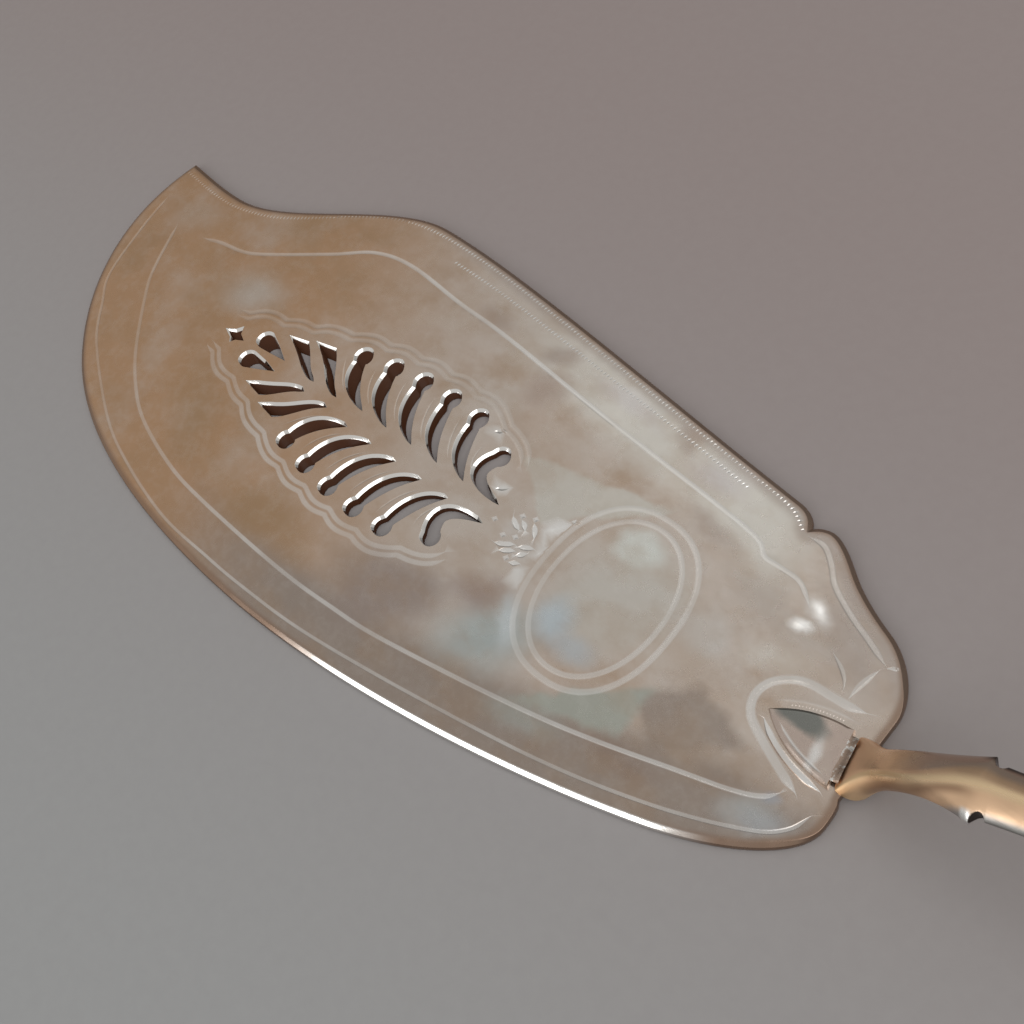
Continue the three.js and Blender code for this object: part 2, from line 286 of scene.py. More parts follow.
def along_handle(x, y):
    """How far along the turned handle a place on the blade lies from the front of the foot."""
    return (x - FOOT_FRONT_X) * math.cos(HANDLE_TURN) + y * math.sin(HANDLE_TURN)


def within(vertices, node):
    """The vertices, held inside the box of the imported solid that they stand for."""
    low, high = (np.array(corner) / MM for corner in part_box(node))
    return np.clip(np.array(vertices), low, high)


# Blade outline and slots


def straight(start, end):
    """The control points of a straight run."""
    return start, start, end, end


def blade_outline():
    """The blade's edge, from the tip round the curved side to the heel and back along the straight side."""
    def at(along, across):
        x = along * (TIP_REACH if along < 0 else LOBE_REACH)
        return x, across * (BELLY_WIDTH if across < 0 else BACK_WIDTH)

    lobe_low = (LOBE_REACH, -LOBE_HALF_WIDTH)
    lobe_high = (0.986 * LOBE_REACH, LOBE_HALF_WIDTH)
    root_low = (ROOT_X, -ROOT_HALF_WIDTH)
    root_high = (ROOT_X, ROOT_HALF_WIDTH)
    neck_low, neck_high = (ROOT_X, -TAB_HALF_WIDTH), (ROOT_X, TAB_HALF_WIDTH)
    tab_low, tab_high = (TAB_X, -TAB_HALF_WIDTH), (TAB_X, TAB_HALF_WIDTH)
    tip, belly_tip, belly = at(-0.988, 0.631), at(-0.866, -0.57), at(-0.385, -1)
    belly_end, lobe_top, lobe_dip = at(0.59, -0.624), at(0.815, 0.47), at(0.623, 0.586)
    crown, notch, back_end = at(0.473, 0.686), at(0.408, 0.657), at(0.328, 0.72)
    back_crest, tip_hollow = at(-0.53, 1), at(-0.857, 0.596)
    curves = [
        (tip, at(-1.026, 0.185), at(-0.969, -0.262), belly_tip),
        (belly_tip, at(-0.758, -0.895), at(-0.569, -1), belly),
        (belly, at(-0.185, -1), at(0.148, -0.809), belly_end),
        (belly_end, at(0.768, -0.547), at(1, -0.39), lobe_low),
        (lobe_low, (LOBE_REACH, -6.2), (0.998 * LOBE_REACH, -4.8), root_low),
        straight(root_low, neck_low),
        straight(neck_low, tab_low),
        straight(tab_low, tab_high),
        straight(tab_high, neck_high),
        straight(neck_high, root_high),
        (root_high, (0.986 * LOBE_REACH, 5.4), (0.986 * LOBE_REACH, 6.6), lobe_high),
        (lobe_high, at(0.986, 0.317), at(0.906, 0.427), lobe_top),
        (lobe_top, at(0.745, 0.501), at(0.67, 0.544), lobe_dip),
        (lobe_dip, at(0.585, 0.62), at(0.52, 0.683), crown),
        (crown, at(0.45, 0.686), at(0.422, 0.675), notch),
        (notch, at(0.398, 0.686), at(0.37, 0.712), back_end),
        (back_end, at(-0.115, 0.823), at(-0.385, 0.992), back_crest),
        (back_crest, at(-0.631, 1.011), at(-0.754, 0.612), tip_hollow),
        (tip_hollow, at(-0.9, 0.591), at(-0.946, 0.615), tip),
    ]
    return np.concatenate([resample(bezier(*controls), OUTLINE_STEP)[:-1] for controls in curves])


def curve(controls, t):
    """Points and headings along the curve with the given control points."""
    t = np.reshape(t, (-1, 1))
    layer = [np.array(c, float) + 0 * t for c in controls]
    while len(layer) > 2:
        layer = [a + (b - a) * t for a, b in zip(layer, layer[1:])]
    heading = layer[1] - layer[0]
    return layer[0] + heading * t, heading / np.linalg.norm(heading, axis=1, keepdims=True)


def slot_line(k):
    """Control points of a leaf slot's middle line: two strips at the tip, five commas and a crescent."""
    if k <= 2:
        x, y = RIB_FIRST_X + RIB_PITCH * (k - 1), STRIP_INNER_HALF
        run = STRIP_RUN + STRIP_RUN_STEP * (k - 1)
        rise = STRIP_RISE + STRIP_RISE_STEP * (k - 1)
        lead, follow = (x - 0.42 * run, y + 0.12 * rise), (x - 0.62 * run, y + 0.86 * rise)
        return (x, y), lead, follow, (x - run, y + rise)
    if k <= 7:
        start = (RIB_FIRST_X + RIB_PITCH * (k - 1), RIB_HALF)
        ball = (BALL_FIRST_X + BALL_PITCH * (k - 3), BALL_CREST_Y - BALL_FALL * (k - BALL_CREST_STATION) ** 2)
        return start, (ball[0] + SLOT_BEND, start[1] + 0.28 * (ball[1] - start[1])), ball
    x, y = CRESCENT_X, CRESCENT_INNER_HALF
    bend = (x - 1.82 * CRESCENT_RUN, y + 0.16 * CRESCENT_RISE)
    return (x, y), bend, (x - CRESCENT_RUN, y + CRESCENT_RISE)


def slot_outline(k):
    """The edge of a leaf slot: a strip flares to a slanted end, the others swell and end in a ball."""
    line = slot_line(k)
    if k <= 2:
        share = np.linspace(0, 1, 13)[1:]
        spots, heading = curve(line, share)
        half = STRIP_END_HALF * share ** 0.6
        pull = share[:, None] ** 6
        long_side = pull * np.array(STRIP_LONG_CORNER)
        short_side = pull * np.array(STRIP_SHORT_CORNER)
        ball = np.zeros((0, 2))
    else:
        long_side = short_side = 0
        radius = BALL_RADIUS if k <= 7 else CRESCENT_RADIUS
        neck = SLOT_NECK_HALF + NECK_WEAR if k <= 7 else 0.85 * CRESCENT_RADIUS
        swell = SLOT_SWELL if k <= 7 else CRESCENT_SWELL
        gape = math.asin(neck / radius)
        fine = curve(line, np.linspace(0, 1, 60))[0]
        reach = 1 - radius * math.cos(gape) / distances(fine)[-1]
        share = np.linspace(0, 1, 15)[1:]
        spots, heading = curve(line, reach * share)
        half = neck * share + 4 * swell * share * (1 - share)
        last = curve(line, 1)[1][0]
        facing = math.atan2(last[1], last[0]) + math.pi - gape
        angles = facing - 2 * (math.pi - gape) * np.linspace(0, 1, 17)[1:-1]
        ball = np.array(line[-1]) + radius * np.stack([np.cos(angles), np.sin(angles)], 1)
    side = np.stack([-heading[:, 1], heading[:, 0]], 1) * half[:, None]
    return clockwise(np.concatenate([[line[0]], spots + side + long_side, ball,
                                     (spots - side + short_side)[::-1]]))


def drop_outline():
    """A teardrop at the leaf's tip: a round head drawn out to a point."""
    head = np.array((DROP_X, DROP_OFFSET))
    end = np.array((DROP_X + DROP_LENGTH, DROP_END_OFFSET))
    axis = end - head
    spread = math.acos(DROP_RADIUS / np.linalg.norm(axis))
    angles = math.atan2(axis[1], axis[0]) + spread + (2 * math.pi - 2 * spread) * np.linspace(0, 1, 17)
    arc = head + DROP_RADIUS * np.stack([np.cos(angles), np.sin(angles)], 1)
    sides = [end, end + (arc[0] - end) * 0.5]
    return clockwise(np.concatenate([sides, arc, [end + (arc[-1] - end) * 0.5]]))


def star_outline():
    """A four-pointed star with hollow sides."""
    outline = []
    for i in range(8):
        angle = math.pi / 4 * i
        point_reach = STAR_LONG if i % 4 == 0 else STAR_SHORT
        reach = point_reach if i % 2 == 0 else STAR_SHORT * STAR_WAIST
        outline.append((STAR_X + reach * math.cos(angle), reach * math.sin(angle)))
    return clockwise(outline)


def leaf_slots():
    """All pierced openings: both sides of the leaf and the star at its tip."""
    upper = [slot_outline(k) for k in range(1, 9)] + [drop_outline()]
    lower = [clockwise(loop * (1, -1)) for loop in upper]
    return upper + lower + [star_outline()]


def bevel_widths(loop):
    """The bevel's width at each point of an opening's edge: wide where it faces the graver, else narrow."""
    facing = left_normals(loop, True, longest=1.0) @ np.array(BEVEL_SIDE)
    return BEVEL_NARROW + (BEVEL_WIDE - BEVEL_NARROW) * ease(facing, -0.25, 0.6)


def slot_lean(x, y):
    """How far an opening's wall leans: more towards the tip, and more in the upper row than in the lower."""
    lean = SLOT_LEAN_HEEL + (SLOT_LEAN_TIP - SLOT_LEAN_HEEL) * ease(x, LEAN_FROM_X, LEAN_TO_X)
    upper = ease(y, -LEAN_ROW_BLEND, LEAN_ROW_BLEND)
    return lean * (LEAN_LOWER_ROW + (LEAN_UPPER_ROW - LEAN_LOWER_ROW) * upper)


# Flat plates with engraving


def flat_tree(points):
    """A search tree of points on the plate."""
    tree = KDTree(len(points))
    for number, (x, y) in enumerate(points):
        tree.insert((x, y, 0), number)
    tree.balance()
    return tree


class Shell:
    """A mesh while it is put together, with how bright and worn each of its vertices is, and how much painted
    shade it gets.
    """

    def __init__(self):
        self.vertices = []
        self.faces = []
        self.layers = {"bright": [], "wear": [], "painted_shade": []}
        self.following = {}

    def ring(self, points, z, bright=0.0, wear=0.0, painted_shade=0.0):
        """Adds vertices at one height, or at one height for each, and returns their numbers."""
        first = len(self.vertices)
        count = len(points)
        self.vertices.extend((x, y, height) for (x, y), height in zip(points, np.broadcast_to(z, count)))
        for layer, value in zip(self.layers.values(), (bright, wear, painted_shade)):
            layer.extend(np.broadcast_to(value, count))
        return list(range(first, first + count))

    def find_open_edges(self):
        """Notes which vertex follows which along the edges that only one triangle has."""
        sides = {(face[k - 1], face[k]) for face in self.faces for k in range(3)}
        self.following = {a: b for a, b in sides if (b, a) not in sides}

    def between(self, start, end):
        """The vertices that cuts have left on the edge of the face between two vertices of a ring."""
        extra = []
        step = self.following.get(start, end)
        while step != end and len(extra) < MOST_EXTRA_POINTS:
            extra.append(step)
            step = self.following.get(step, end)
        return extra if step == end else []

    def wall(self, upper, lower):
        """Joins two rings by faces and returns the lower one."""
        for i in range(len(upper)):
            j = (i + 1) % len(upper)
            extra = self.between(upper[i], upper[j])[::-1]
            self.faces.append((upper[i], lower[i], lower[j], upper[j], *extra))
        return lower

    def close_floor(self, loops):
        """Adds triangles that close the underside between its edge loops."""
        numbers = [i for loop in loops for i in loop]
        place_of = {number: k for k, number in enumerate(numbers)}
        flat = [Vector(self.vertices[i][:2]) for i in numbers]
        edges = [(place_of[a], place_of[b]) for loop in loops for a, b in zip(loop, loop[1:] + loop[:1])]
        found, _, triangles, origins, _, _ = delaunay_2d_cdt(flat, edges, [], 1, 1e-6, True)
        spots = np.array([tuple(v) for v in found])
        triangles = np.array(triangles)
        centres = spots[triangles].mean(1)
        keep = inside(centres, spots[[place_of[i] for i in loops[0]]])
        for loop in loops[1:]:
            keep &= ~inside(centres, spots[[place_of[i] for i in loop]])
        for a, b, c in triangles[keep]:
            self.faces.append(tuple(numbers[origins[i][0]] for i in (c, b, a)))


class Sheet:
    """A flat plate: its edge, its openings and the cuts in its face, which become one closed mesh."""

    def __init__(self, outline, rim_scale, openings=()):
        self.points = []
        self.drops = []
        self.bright = []
        self.edges = []
        self.outline = outline
        self.rim_scale = rim_scale
        self.openings = list(openings)
        self.rim = self.add_line(self.rim_loop(RIM_ROUND), closed=True)
        self.add_line(self.rim_loop(RIM_ROUND + RIM_FLAT), closed=True)
        self.bevels = [bevel_widths(loop) for loop in self.openings]
        self.lips = [self.add_line(lip, closed=True) for lip in self.lip_loops()]

    def rim_loop(self, inset):
        """The plate's edge, moved inwards."""
        return shift(self.outline, inset * self.rim_scale)

    def lip_loops(self):
        """Where the bevel of each opening meets the face."""
        return [shift(loop, width) for loop, width in zip(self.openings, self.bevels)]

    def on_metal(self, spots):
        """Which points lie on the face, inside the rounded edge and outside the bevels."""
        found = inside(spots, self.rim_loop(RIM_ROUND))
        for lip in self.lip_loops():
            found &= ~inside(spots, lip)
        return found

    def add_line(self, points, drop=0.0, bright=0.0, closed=False):
        """Adds a line of points at one depth, or at one depth for each point, and returns their numbers."""
        first = len(self.points)
        count = len(points)
        self.points.extend(map(tuple, points))
        self.drops.extend(np.broadcast_to(drop, count))
        self.bright.extend(np.broadcast_to(bright, count))
        numbers = list(range(first, first + count))
        self.edges.extend(zip(numbers, numbers[1:] + numbers[:1] if closed else numbers[1:]))
        return numbers

    def groove(self, line, half_width, depth, closed=False, taper=3, bright=1.0):
        """A cut along a line, round-bottomed if broad, which runs out at both ends unless it is closed."""
        swell = np.ones(len(line))
        if not closed:
            ends = np.minimum(np.arange(len(line)), np.arange(len(line))[::-1])
            swell = np.clip((ends + 0.3) / taper, 0, 1)
        profile = GROOVE_PROFILE[::2] if half_width < FINE_GROOVE else GROOVE_PROFILE
        rows = []
        for share, cut in profile:
            row = shift(line, share * half_width * swell, closed)
            rows.append(self.add_line(row, cut * depth * swell, bright if cut else 0.0, closed))
        if not closed:
            for i in (0, -1):
                self.edges.extend((a[i], b[i]) for a, b in zip(rows, rows[1:]))

    def leaf_cut(self, start, end, half_width, depth):
        """One bright cut, shaped like a slim leaf and deepest at its middle."""
        a, b = np.array(start, float), np.array(end, float)
        side = np.array((a[1] - b[1], b[0] - a[0])) / np.linalg.norm(b - a) * half_width
        share = np.array((0.25, 0.5, 0.75))
        swell = np.array((0.75, 1.0, 0.75))[:, None]
        line = a + (b - a) * share[:, None]
        rim = np.concatenate([[a], line + side * swell, [b], (line - side * swell)[::-1]])
        self.add_line(rim, 0.0, 0.8, closed=True)
        self.add_line(line, depth * swell[:, 0], 1.0)

    def tick_row(self, line, pitch, half_length, half_width, depth, slant=0.0, bright=1.0):
        """A row of short cuts across a line."""
        spots = resample(line, pitch)
        for spot, normal in zip(spots, left_normals(spots, False)):
            along = np.array((normal[1], -normal[0]))
            across = normal + slant * along
            self.tick(spot, across * half_length, along * half_width, depth, bright)

    def tick(self, spot, reach, side, depth, bright=1.0):
        """One short bright cut, with a thin dull rim so that its brightness ends there."""
        for size, rim_bright in ((TICK_RIM, 0.0), (1.0, 0.6 * bright)):
            corners = [spot - size * reach, spot - size * side, spot + size * reach, spot + size * side]
            self.add_line(corners, 0.0, rim_bright, closed=True)
        self.add_line([spot], depth, bright)

    def fill(self, spacing, clearance):
        """Adds an even grid of points wherever no line is near, so that the face can curve."""
        tree = flat_tree(self.points)
        low, high = self.outline.min(0), self.outline.max(0)
        across = np.arange(low[0] + 0.5 * spacing, high[0], spacing)
        up = np.arange(low[1] + 0.5 * spacing, high[1], spacing)
        grid = np.stack(np.meshgrid(across, up), -1).reshape(-1, 2)
        for x, y in grid[self.on_metal(grid)]:
            if tree.find((x, y, 0))[2] > clearance:
                self.add_line([(x, y)])

    def add_face(self, shell):
        """Adds the engraved face as triangles and returns the vertex number of each of the plate's points."""
        flat = [Vector(p) for p in self.points]
        found, _, triangles, origins, _, _ = delaunay_2d_cdt(flat, self.edges, [], 1, 1e-5, True)
        spots = np.array([tuple(v) for v in found])
        drop = np.zeros(len(spots))
        bright = np.zeros(len(spots))
        number_of = {}
        for number, sources in enumerate(origins):
            for source in sources:
                number_of[source] = number
                drop[number] = max(drop[number], self.drops[source])
                bright[number] = max(bright[number], self.bright[source])
        triangles = np.array(triangles)
        triangles = triangles[self.on_metal(spots[triangles].mean(1))]
        shell.ring(spots, THICK - drop, bright)
        shell.faces.extend(tuple(t) for t in triangles.tolist())
        shell.find_open_edges()
        return number_of

    def add_rim(self, shell, upper):
        """Adds the plate's rounded edge below a ring of vertices and returns its lowest ring."""
        for inset, depth in RIM_STEPS:
            lower = shell.ring(self.rim_loop(RIM_ROUND * inset), THICK - RIM_DEPTH * depth)
            upper = shell.wall(upper, lower)
        # The under edge gets half the painted shade: dark brown standing in for the shade at the plate's
        # edge.
        for inset, z in ((0.0, UNDER_EDGE), (UNDER_EDGE, 0.0)):
            upper = shell.wall(upper, shell.ring(self.rim_loop(inset), z, painted_shade=0.5))
        return upper

    def add_slot(self, shell, upper, loop, width):
        """Adds an opening's bevel and leaning wall below a ring of vertices and returns its lowest ring."""
        for inset, depth in BEVEL_STEPS:
            lower = shell.ring(shift(loop, width * inset), THICK - BEVEL_DEPTH * depth, wear=1.0)
            upper = shell.wall(upper, lower)
        lean = slot_lean(*loop.mean(0))
        # The wall below the bevel is painted dark brown: painted shade for the shadowed slot and the floor
        # seen through it.
        for inset, share in SLOT_WALL_STEPS:
            slant = lean * share * np.array(LEAN_HEADING)
            lower = shell.ring(shift(loop, inset) + slant, (THICK - BEVEL_DEPTH) * (1 - share), painted_shade=1.0)
            upper = shell.wall(upper, lower)
        return upper

    def make(self, name, node, place):
        """The closed mesh. place moves a point of the nominal plate, z = 0 to THICK, to where it belongs."""
        shell = Shell()
        number_of = self.add_face(shell)
        floor_loops = [self.add_rim(shell, [number_of[i] for i in self.rim])]
        for loop, lip, width in zip(self.openings, self.lips, self.bevels):
            floor_loops.append(self.add_slot(shell, [number_of[i] for i in lip], loop, width))
        shell.close_floor(floor_loops)
        vertices = within([place(*v) for v in shell.vertices], node)
        edge = flat_tree(self.outline)
        border = [edge.find((x, y, 0))[2] for x, y, _ in vertices]
        return mesh_piece(name, vertices, shell.faces, PLATE_SHARP, {**shell.layers, "border": border})


def add_object(name, data):
    """A new object in the scene."""
    made = bpy.data.objects.new(name, data)
    bpy.context.scene.collection.objects.link(made)
    return made


def mesh_piece(name, vertices, faces, sharp_angle, layers):
    """A smooth-shaded mesh object in metres, with sharp edges kept and one value a point in each layer."""
    mesh = bpy.data.meshes.new(name)
    mesh.from_pydata([tuple(c * MM for c in v) for v in vertices], [], faces)
    mesh.validate()
    mesh.shade_smooth()
    mesh.set_sharp_from_angle(angle=math.radians(sharp_angle))
    for label, values in layers.items():
        layer = mesh.attributes.new(label, "FLOAT", "POINT")
        layer.data.foreach_set("value", np.array(values, np.float32))
    piece = add_object(name, mesh)
    weight = piece.modifiers.new("large_faces_lead", "WEIGHTED_NORMAL")
    weight.mode = "FACE_AREA"
    weight.keep_sharp = True
    return piece


# Blade engraving


def full_oval(half_sizes, power):
    """A closed oval, an ellipse for power 2 and fuller at its shoulders for a higher power."""
    angle = np.linspace(0, 2 * math.pi, 241)
    along, across = np.cos(angle), np.sin(angle)
    shape = np.stack([np.sign(c) * np.abs(c) ** (2 / power) for c in (along, across)], 1)
    return resample(np.array(OVAL_CENTRE) + shape * half_sizes, LINE_STEP)[:-1]


def scallop(distance, side):
    """A wavy line round one side of the leaf, which dips between the outer ends of its slots."""
    ends = [(-90.0, 0.0), (-84.0, 3.0), (-77.0, 4.8), (-70.5, 7.2)]
    ends += [slot_line(k)[-1] for k in range(3, 9)]
    ends += [(-24.5, 4.2)]
    share = np.linspace(0, len(ends) - 1, 16 * (len(ends) - 1) + 1)
    spine = smooth_line(ends, 0.2)
    along = distances(spine)
    stops = [along[np.argmin(np.linalg.norm(spine - np.array(e), axis=1))] for e in ends]
    at = np.interp(share, np.arange(len(ends)), stops)
    spots = np.stack([np.interp(at, along, spine[:, axis]) for axis in (0, 1)], 1)
    wave = distance - SCALLOP_DIP * (1 - np.abs(np.cos(math.pi * share)))
    line = shift(spots, wave, closed=False)[3:-10]
    return resample(line * (1, side), LINE_STEP)


def engrave_leaf(sheet):
    """The wavy double line round the leaf, and fine cuts along the leaflets."""
    for side, bright in ((1, 0.22), (-1, 0.42)):
        sheet.groove(scallop(SCALLOP_INNER, side), 0.48, 0.05, bright=bright)
        sheet.groove(scallop(SCALLOP_OUTER, side), 0.5, 0.055, bright=bright)
        for k in range(2, 8):
            t = np.linspace(0.25, 0.9, 14)
            near = curve(slot_line(k), t)[0]
            far = curve(slot_line(k + 1), t)[0]
            line = resample(0.45 * near + 0.55 * far, LINE_STEP)
            sheet.groove(line * (1, side), 0.2, 0.05, bright=0.35)


def engrave_oval(sheet):
    """Two broad, shallow rings. The middle stays bare."""
    sheet.groove(full_oval(OVAL_INNER, 2.1), 0.5, 0.045, closed=True, bright=0.45)
    sheet.groove(full_oval(OVAL_OUTER, 2.3), 0.55, 0.045, closed=True, bright=0.45)


def engrave_bow(sheet):
    """A bow between the leaf and the oval: curved strokes, three broad leaves, two dashes and dots."""
    strokes = (
        ((-19.5, -3.2), (-18.2, -2.6), (-16.7, -1.7)),
        ((-18.1, -3.8), (-16.9, -3.0), (-15.9, -2.5)),
        ((-15.9, -1.7), (-14.9, -1.1), (-13.7, -0.6)),
        ((-15.3, -3.0), (-14.7, -2.4), (-14.0, -1.7)),
        ((-15.5, -4.4), (-14.8, -4.1), (-13.9, -3.6)),
        ((-20.0, 1.7), (-19.0, 1.0), (-17.7, 0.5)),
        ((-18.4, 2.0), (-17.6, 1.6), (-16.8, 0.9)),
        ((-16.4, 2.6), (-15.6, 1.8), (-14.8, 0.7)),
    )
    for stroke in strokes:
        sheet.groove(smooth_line(stroke, SHORT_STEP), 0.52, 0.1, taper=2)
    leaves = (
        ((-14.2, 2.6), (-11.6, 5.7), 0.85, 0.04),
        ((-12.7, -1.2), (-12.2, 0.8), 0.4, 0.04),
        ((-13.9, -3.7), (-11.9, -6.6), 0.85, 0.04),
        ((-25.7, 3.7), (-23.8, 5.0), 0.42, 0.2),
        ((-32.8, 11.3), (-31.2, 12.3), 0.42, 0.2),
    )
    for leaf in leaves:
        sheet.leaf_cut(*leaf)
    dots = ((-22.2, -0.2), (-18.8, 2.6), (-16.7, 3.3), (-19.3, -1.5), (-17.4, -0.7), (-16.3, -4.1),
            (-11.4, 6.3))
    for dot in dots:
        sheet.tick(np.array(dot), np.array((0.55, 0.14)), np.array((-0.12, 0.48)), 0.12)


def engrave_ticks(sheet):
    """Two rows of fine cross cuts along the back: one by the edge, and a shorter one inside it."""
    edge_row = [(-127.6, 21.6), (-118.0, 20.6), (-110.0, 20.8), (-100.0, 23.6), (-88.0, 30.4),
                (-78.0, 35.0), (-68.0, 36.2), (-54.0, 35.4), (-39.7, 33.6), (-22.2, 31.1), (-9.5, 29.3),
                (3.1, 27.5), (12.7, 26.0), (16.6, 23.9)]
    inner_row = [(-62.0, 33.0), (-50.0, 32.2), (-31.2, 30.0), (-24.1, 29.0), (-13.4, 27.7), (-2.5, 26.3),
                 (6.0, 25.0)]
    for row, half_length in ((edge_row, 0.42), (inner_row, 0.38)):
        sheet.tick_row(smooth_line(row), TICK_PITCH, half_length, TICK_HALF_WIDTH, TICK_DEPTH, TICK_SLANT)


def engrave_borders(sheet):
    """Plain lines that follow the blade's edge, and the short ones in its rounded lobe."""
    belly = [(-126.9, 15.0), (-125.8, 7.2), (-122.9, -4.1), (-118.3, -9.8), (-111.4, -16.6), (-96.0, -25.6),
             (-84.4, -29.6), (-70.5, -32.3), (-58.3, -32.6), (-48.9, -32.5), (-34.8, -31.6), (-15.0, -28.6),
             (7.8, -24.1), (24.0, -19.3), (35.4, -14.3), (39.3, -11.2), (40.6, -8.0)]
    lobe = [(17.9, 23.4), (20.4, 23.4), (22.8, 21.6), (25.1, 19.2), (29.2, 16.9), (33.0, 15.3), (36.7, 13.6)]
    crease = [(36.4, 12.6), (36.0, 11.2), (35.6, 9.2), (35.5, 7.2)]
    spur = [(37.0, 13.4), (38.0, 14.0), (39.0, 14.2)]
    inner_back = [(-111.2, 11.9), (-107.1, 13.0), (-101.4, 13.8), (-96.6, 15.7), (-84.8, 22.3),
                  (-77.1, 27.0), (-68.7, 28.3), (-55.3, 26.9), (-43.6, 26.0), (-20.2, 23.0), (1.4, 20.7),
                  (9.6, 19.7), (12.9, 18.9), (14.6, 17.5), (17.4, 17.4), (20.6, 17.2), (22.6, 16.0),
                  (23.9, 14.9)]
    inner_belly = [(-119.1, 11.1), (-115.6, 2.6), (-112.4, -2.6), (-103.7, -12.3), (-96.7, -18.0),
                   (-89.2, -22.0), (-77.4, -25.1), (-66.6, -26.2), (-46.6, -26.7), (-33.9, -26.1),
                   (-21.7, -24.7), (4.9, -19.3), (25.1, -13.3), (31.5, -11.2), (34.6, -9.6), (35.9, -8.0)]
    hook = [(30.4, 11.2), (32.4, 10.1), (33.7, 8.9), (34.3, 7.7)]
    cuts = (
        (belly, LINE_STEP, 0.32, 0.06, 0.45),
        (lobe, LINE_STEP, 0.5, 0.07, 0.4),
        (crease, LINE_STEP, 0.5, 0.045, 0.6),
        (spur, SHORT_STEP, 0.45, 0.05, 0.75),
        (inner_back, LINE_STEP, 0.45, 0.05, 0.65),
        (inner_belly, LINE_STEP, 0.4, 0.05, 0.55),
        (hook, LINE_STEP, 0.35, 0.08, 0.5),
    )
    for points, spacing, half_width, depth, bright in cuts:
        sheet.groove(smooth_line(points, spacing), half_width, depth, bright=bright)


def heel_edge():
    """The heel plate's two curved sides, from one rear corner by the apex to the other."""
    arm = np.array((HEEL_APEX_X + 0.15 * HEEL_LENGTH, 0.38 * HEEL_HALF_WIDTH))
    sides = []
    for side in (1, -1):
        corner = from_foot(-FOOT_CLEARANCE, side * HEEL_HALF_WIDTH)
        body = (HEEL_APEX_X + 0.48 * HEEL_LENGTH, corner[1])
        sides.append(resample(bezier(corner, body, arm * (1, side), (HEEL_APEX_X, 0)), HEEL_STEP))
    return sides[0], sides[1][::-1]


def engrave_heel_border(sheet):
    """A round-topped arch of lines on the blade round the heel plate."""
    arch = [(37.4, -6.9), (34.0, -5.6), (30.2, -3.9), (27.2, -2.3), (25.9, -0.6), (25.6, 1.4), (26.4, 3.4),
            (28.4, 5.2), (30.6, 6.0), (33.4, 6.2), (36.2, 6.4), (38.4, 6.9)]
    sheet.groove(smooth_line(arch), 0.75, 0.06, bright=0.65)
    upper, lower = heel_edge()
    sheet.groove(resample(shift(lower, -0.85, closed=False)[2:-1], LINE_STEP), 0.5, 0.14)
    sheet.groove(resample(shift(upper, -1.2, closed=False)[1:-2], LINE_STEP), 0.3, 0.04, bright=0.3)
    sheet.tick_row(shift(upper, -0.5, closed=False)[4:-6], 0.45, 0.22, 0.1, 0.025, bright=0.1)


def blade_wave(x, y):
    """How far the planished face dips below the sheet's full thickness, none where the heel plate lies."""
    slow = noise.noise(Vector((x / 34, y / 30, 2.7)))
    quick = noise.noise(Vector((x / 13, y / 12, 8.1)))
    return max(0.08 + 0.1 * slow + 0.02 * quick, 0) * (1 - ease(x, 12, 24))


def make_blade():
    """The pierced and engraved blade, whose edge is sharper beside the handle's root."""
    outline = blade_outline()
    near_root = np.linalg.norm((outline - (ROOT_X + 1.0, 0)) / ROOT_SHARP_AREA, axis=1)
    rim_scale = ROOT_SHARP_RIM + (1 - ROOT_SHARP_RIM) * ease(near_root, 0.9, 1.7)
    sheet = Sheet(outline, rim_scale, leaf_slots())
    engrave_leaf(sheet)
    engrave_oval(sheet)
    engrave_bow(sheet)
    engrave_ticks(sheet)
    engrave_borders(sheet)
    engrave_heel_border(sheet)
    sheet.fill(BLADE_GRID, BLADE_GRID_CLEARANCE)
    return sheet.make("engraved_blade", "blade", lambda x, y, z: (x, y, z - blade_wave(x, y) * z / THICK))


# Heel plate


def heel_place(x, y, z):
    """A point of the nominal plate on the wedge of the heel plate, which swells a little along its middle."""
    apex = along_handle(HEEL_APEX_X, 0.0)
    share = (along_handle(x, y) - apex) / (-FOOT_CLEARANCE - apex)
    thick = HEEL_APEX_THICK + (HEEL_REAR_THICK - HEEL_APEX_THICK) * share
    swell = 0.1 * math.cos(0.5 * math.pi * y / HEEL_HALF_WIDTH) * math.sin(math.pi * min(max(share, 0), 1))
    return x, y, THICK + (thick + swell) * z / THICK


def make_heel_plate():
    """The shield on the blade, with one bright line along its lower side."""
    upper, lower = heel_edge()
    rear = resample(np.array([lower[-1], upper[0]]), HEEL_STEP)
    outline = np.concatenate([upper[:-1], lower[:-1], rear[:-1]])
    before = along_handle(outline[:, 0], outline[:, 1])
    rim_scale = 0.55 - 0.4 * ease(before, -FOOT_CLEARANCE - 0.9, -FOOT_CLEARANCE - 0.1)
    rim_scale *= 0.35 + 0.65 * ease(outline[:, 0] - HEEL_APEX_X, 0.0, 1.5)
    sheet = Sheet(outline, rim_scale)
    sheet.groove(resample(shift(lower, 0.9, closed=False)[5:-3], HEEL_STEP), 0.3, 0.12, bright=0.8)
    sheet.fill(HEEL_GRID, HEEL_GRID_CLEARANCE)
    return sheet.make("heel_shield", "heel_plate", heel_place)


# Handle


def handle_line():
    """The handle's centre line: a steep neck, then a long flat arch, as (x, z) points."""
    foot = np.array((FOOT_X, FOOT_Z))
    top = foot + (NECK_RUN, NECK_RISE)
    leave = foot + (0.56 * NECK_RUN, 0.87 * NECK_RISE)
    neck = bezier(foot, foot + (0.2 * NECK_RUN, 0.48 * NECK_RISE), leave, top, 200)
    arch_start = top + 1.756 * (top - leave)
    arch = bezier(top, arch_start, top + (0.461 * ARCH_RUN, ARCH_CROWN), top + (ARCH_RUN, ARCH_RISE), 400)
    return np.concatenate([neck, arch[1:]])


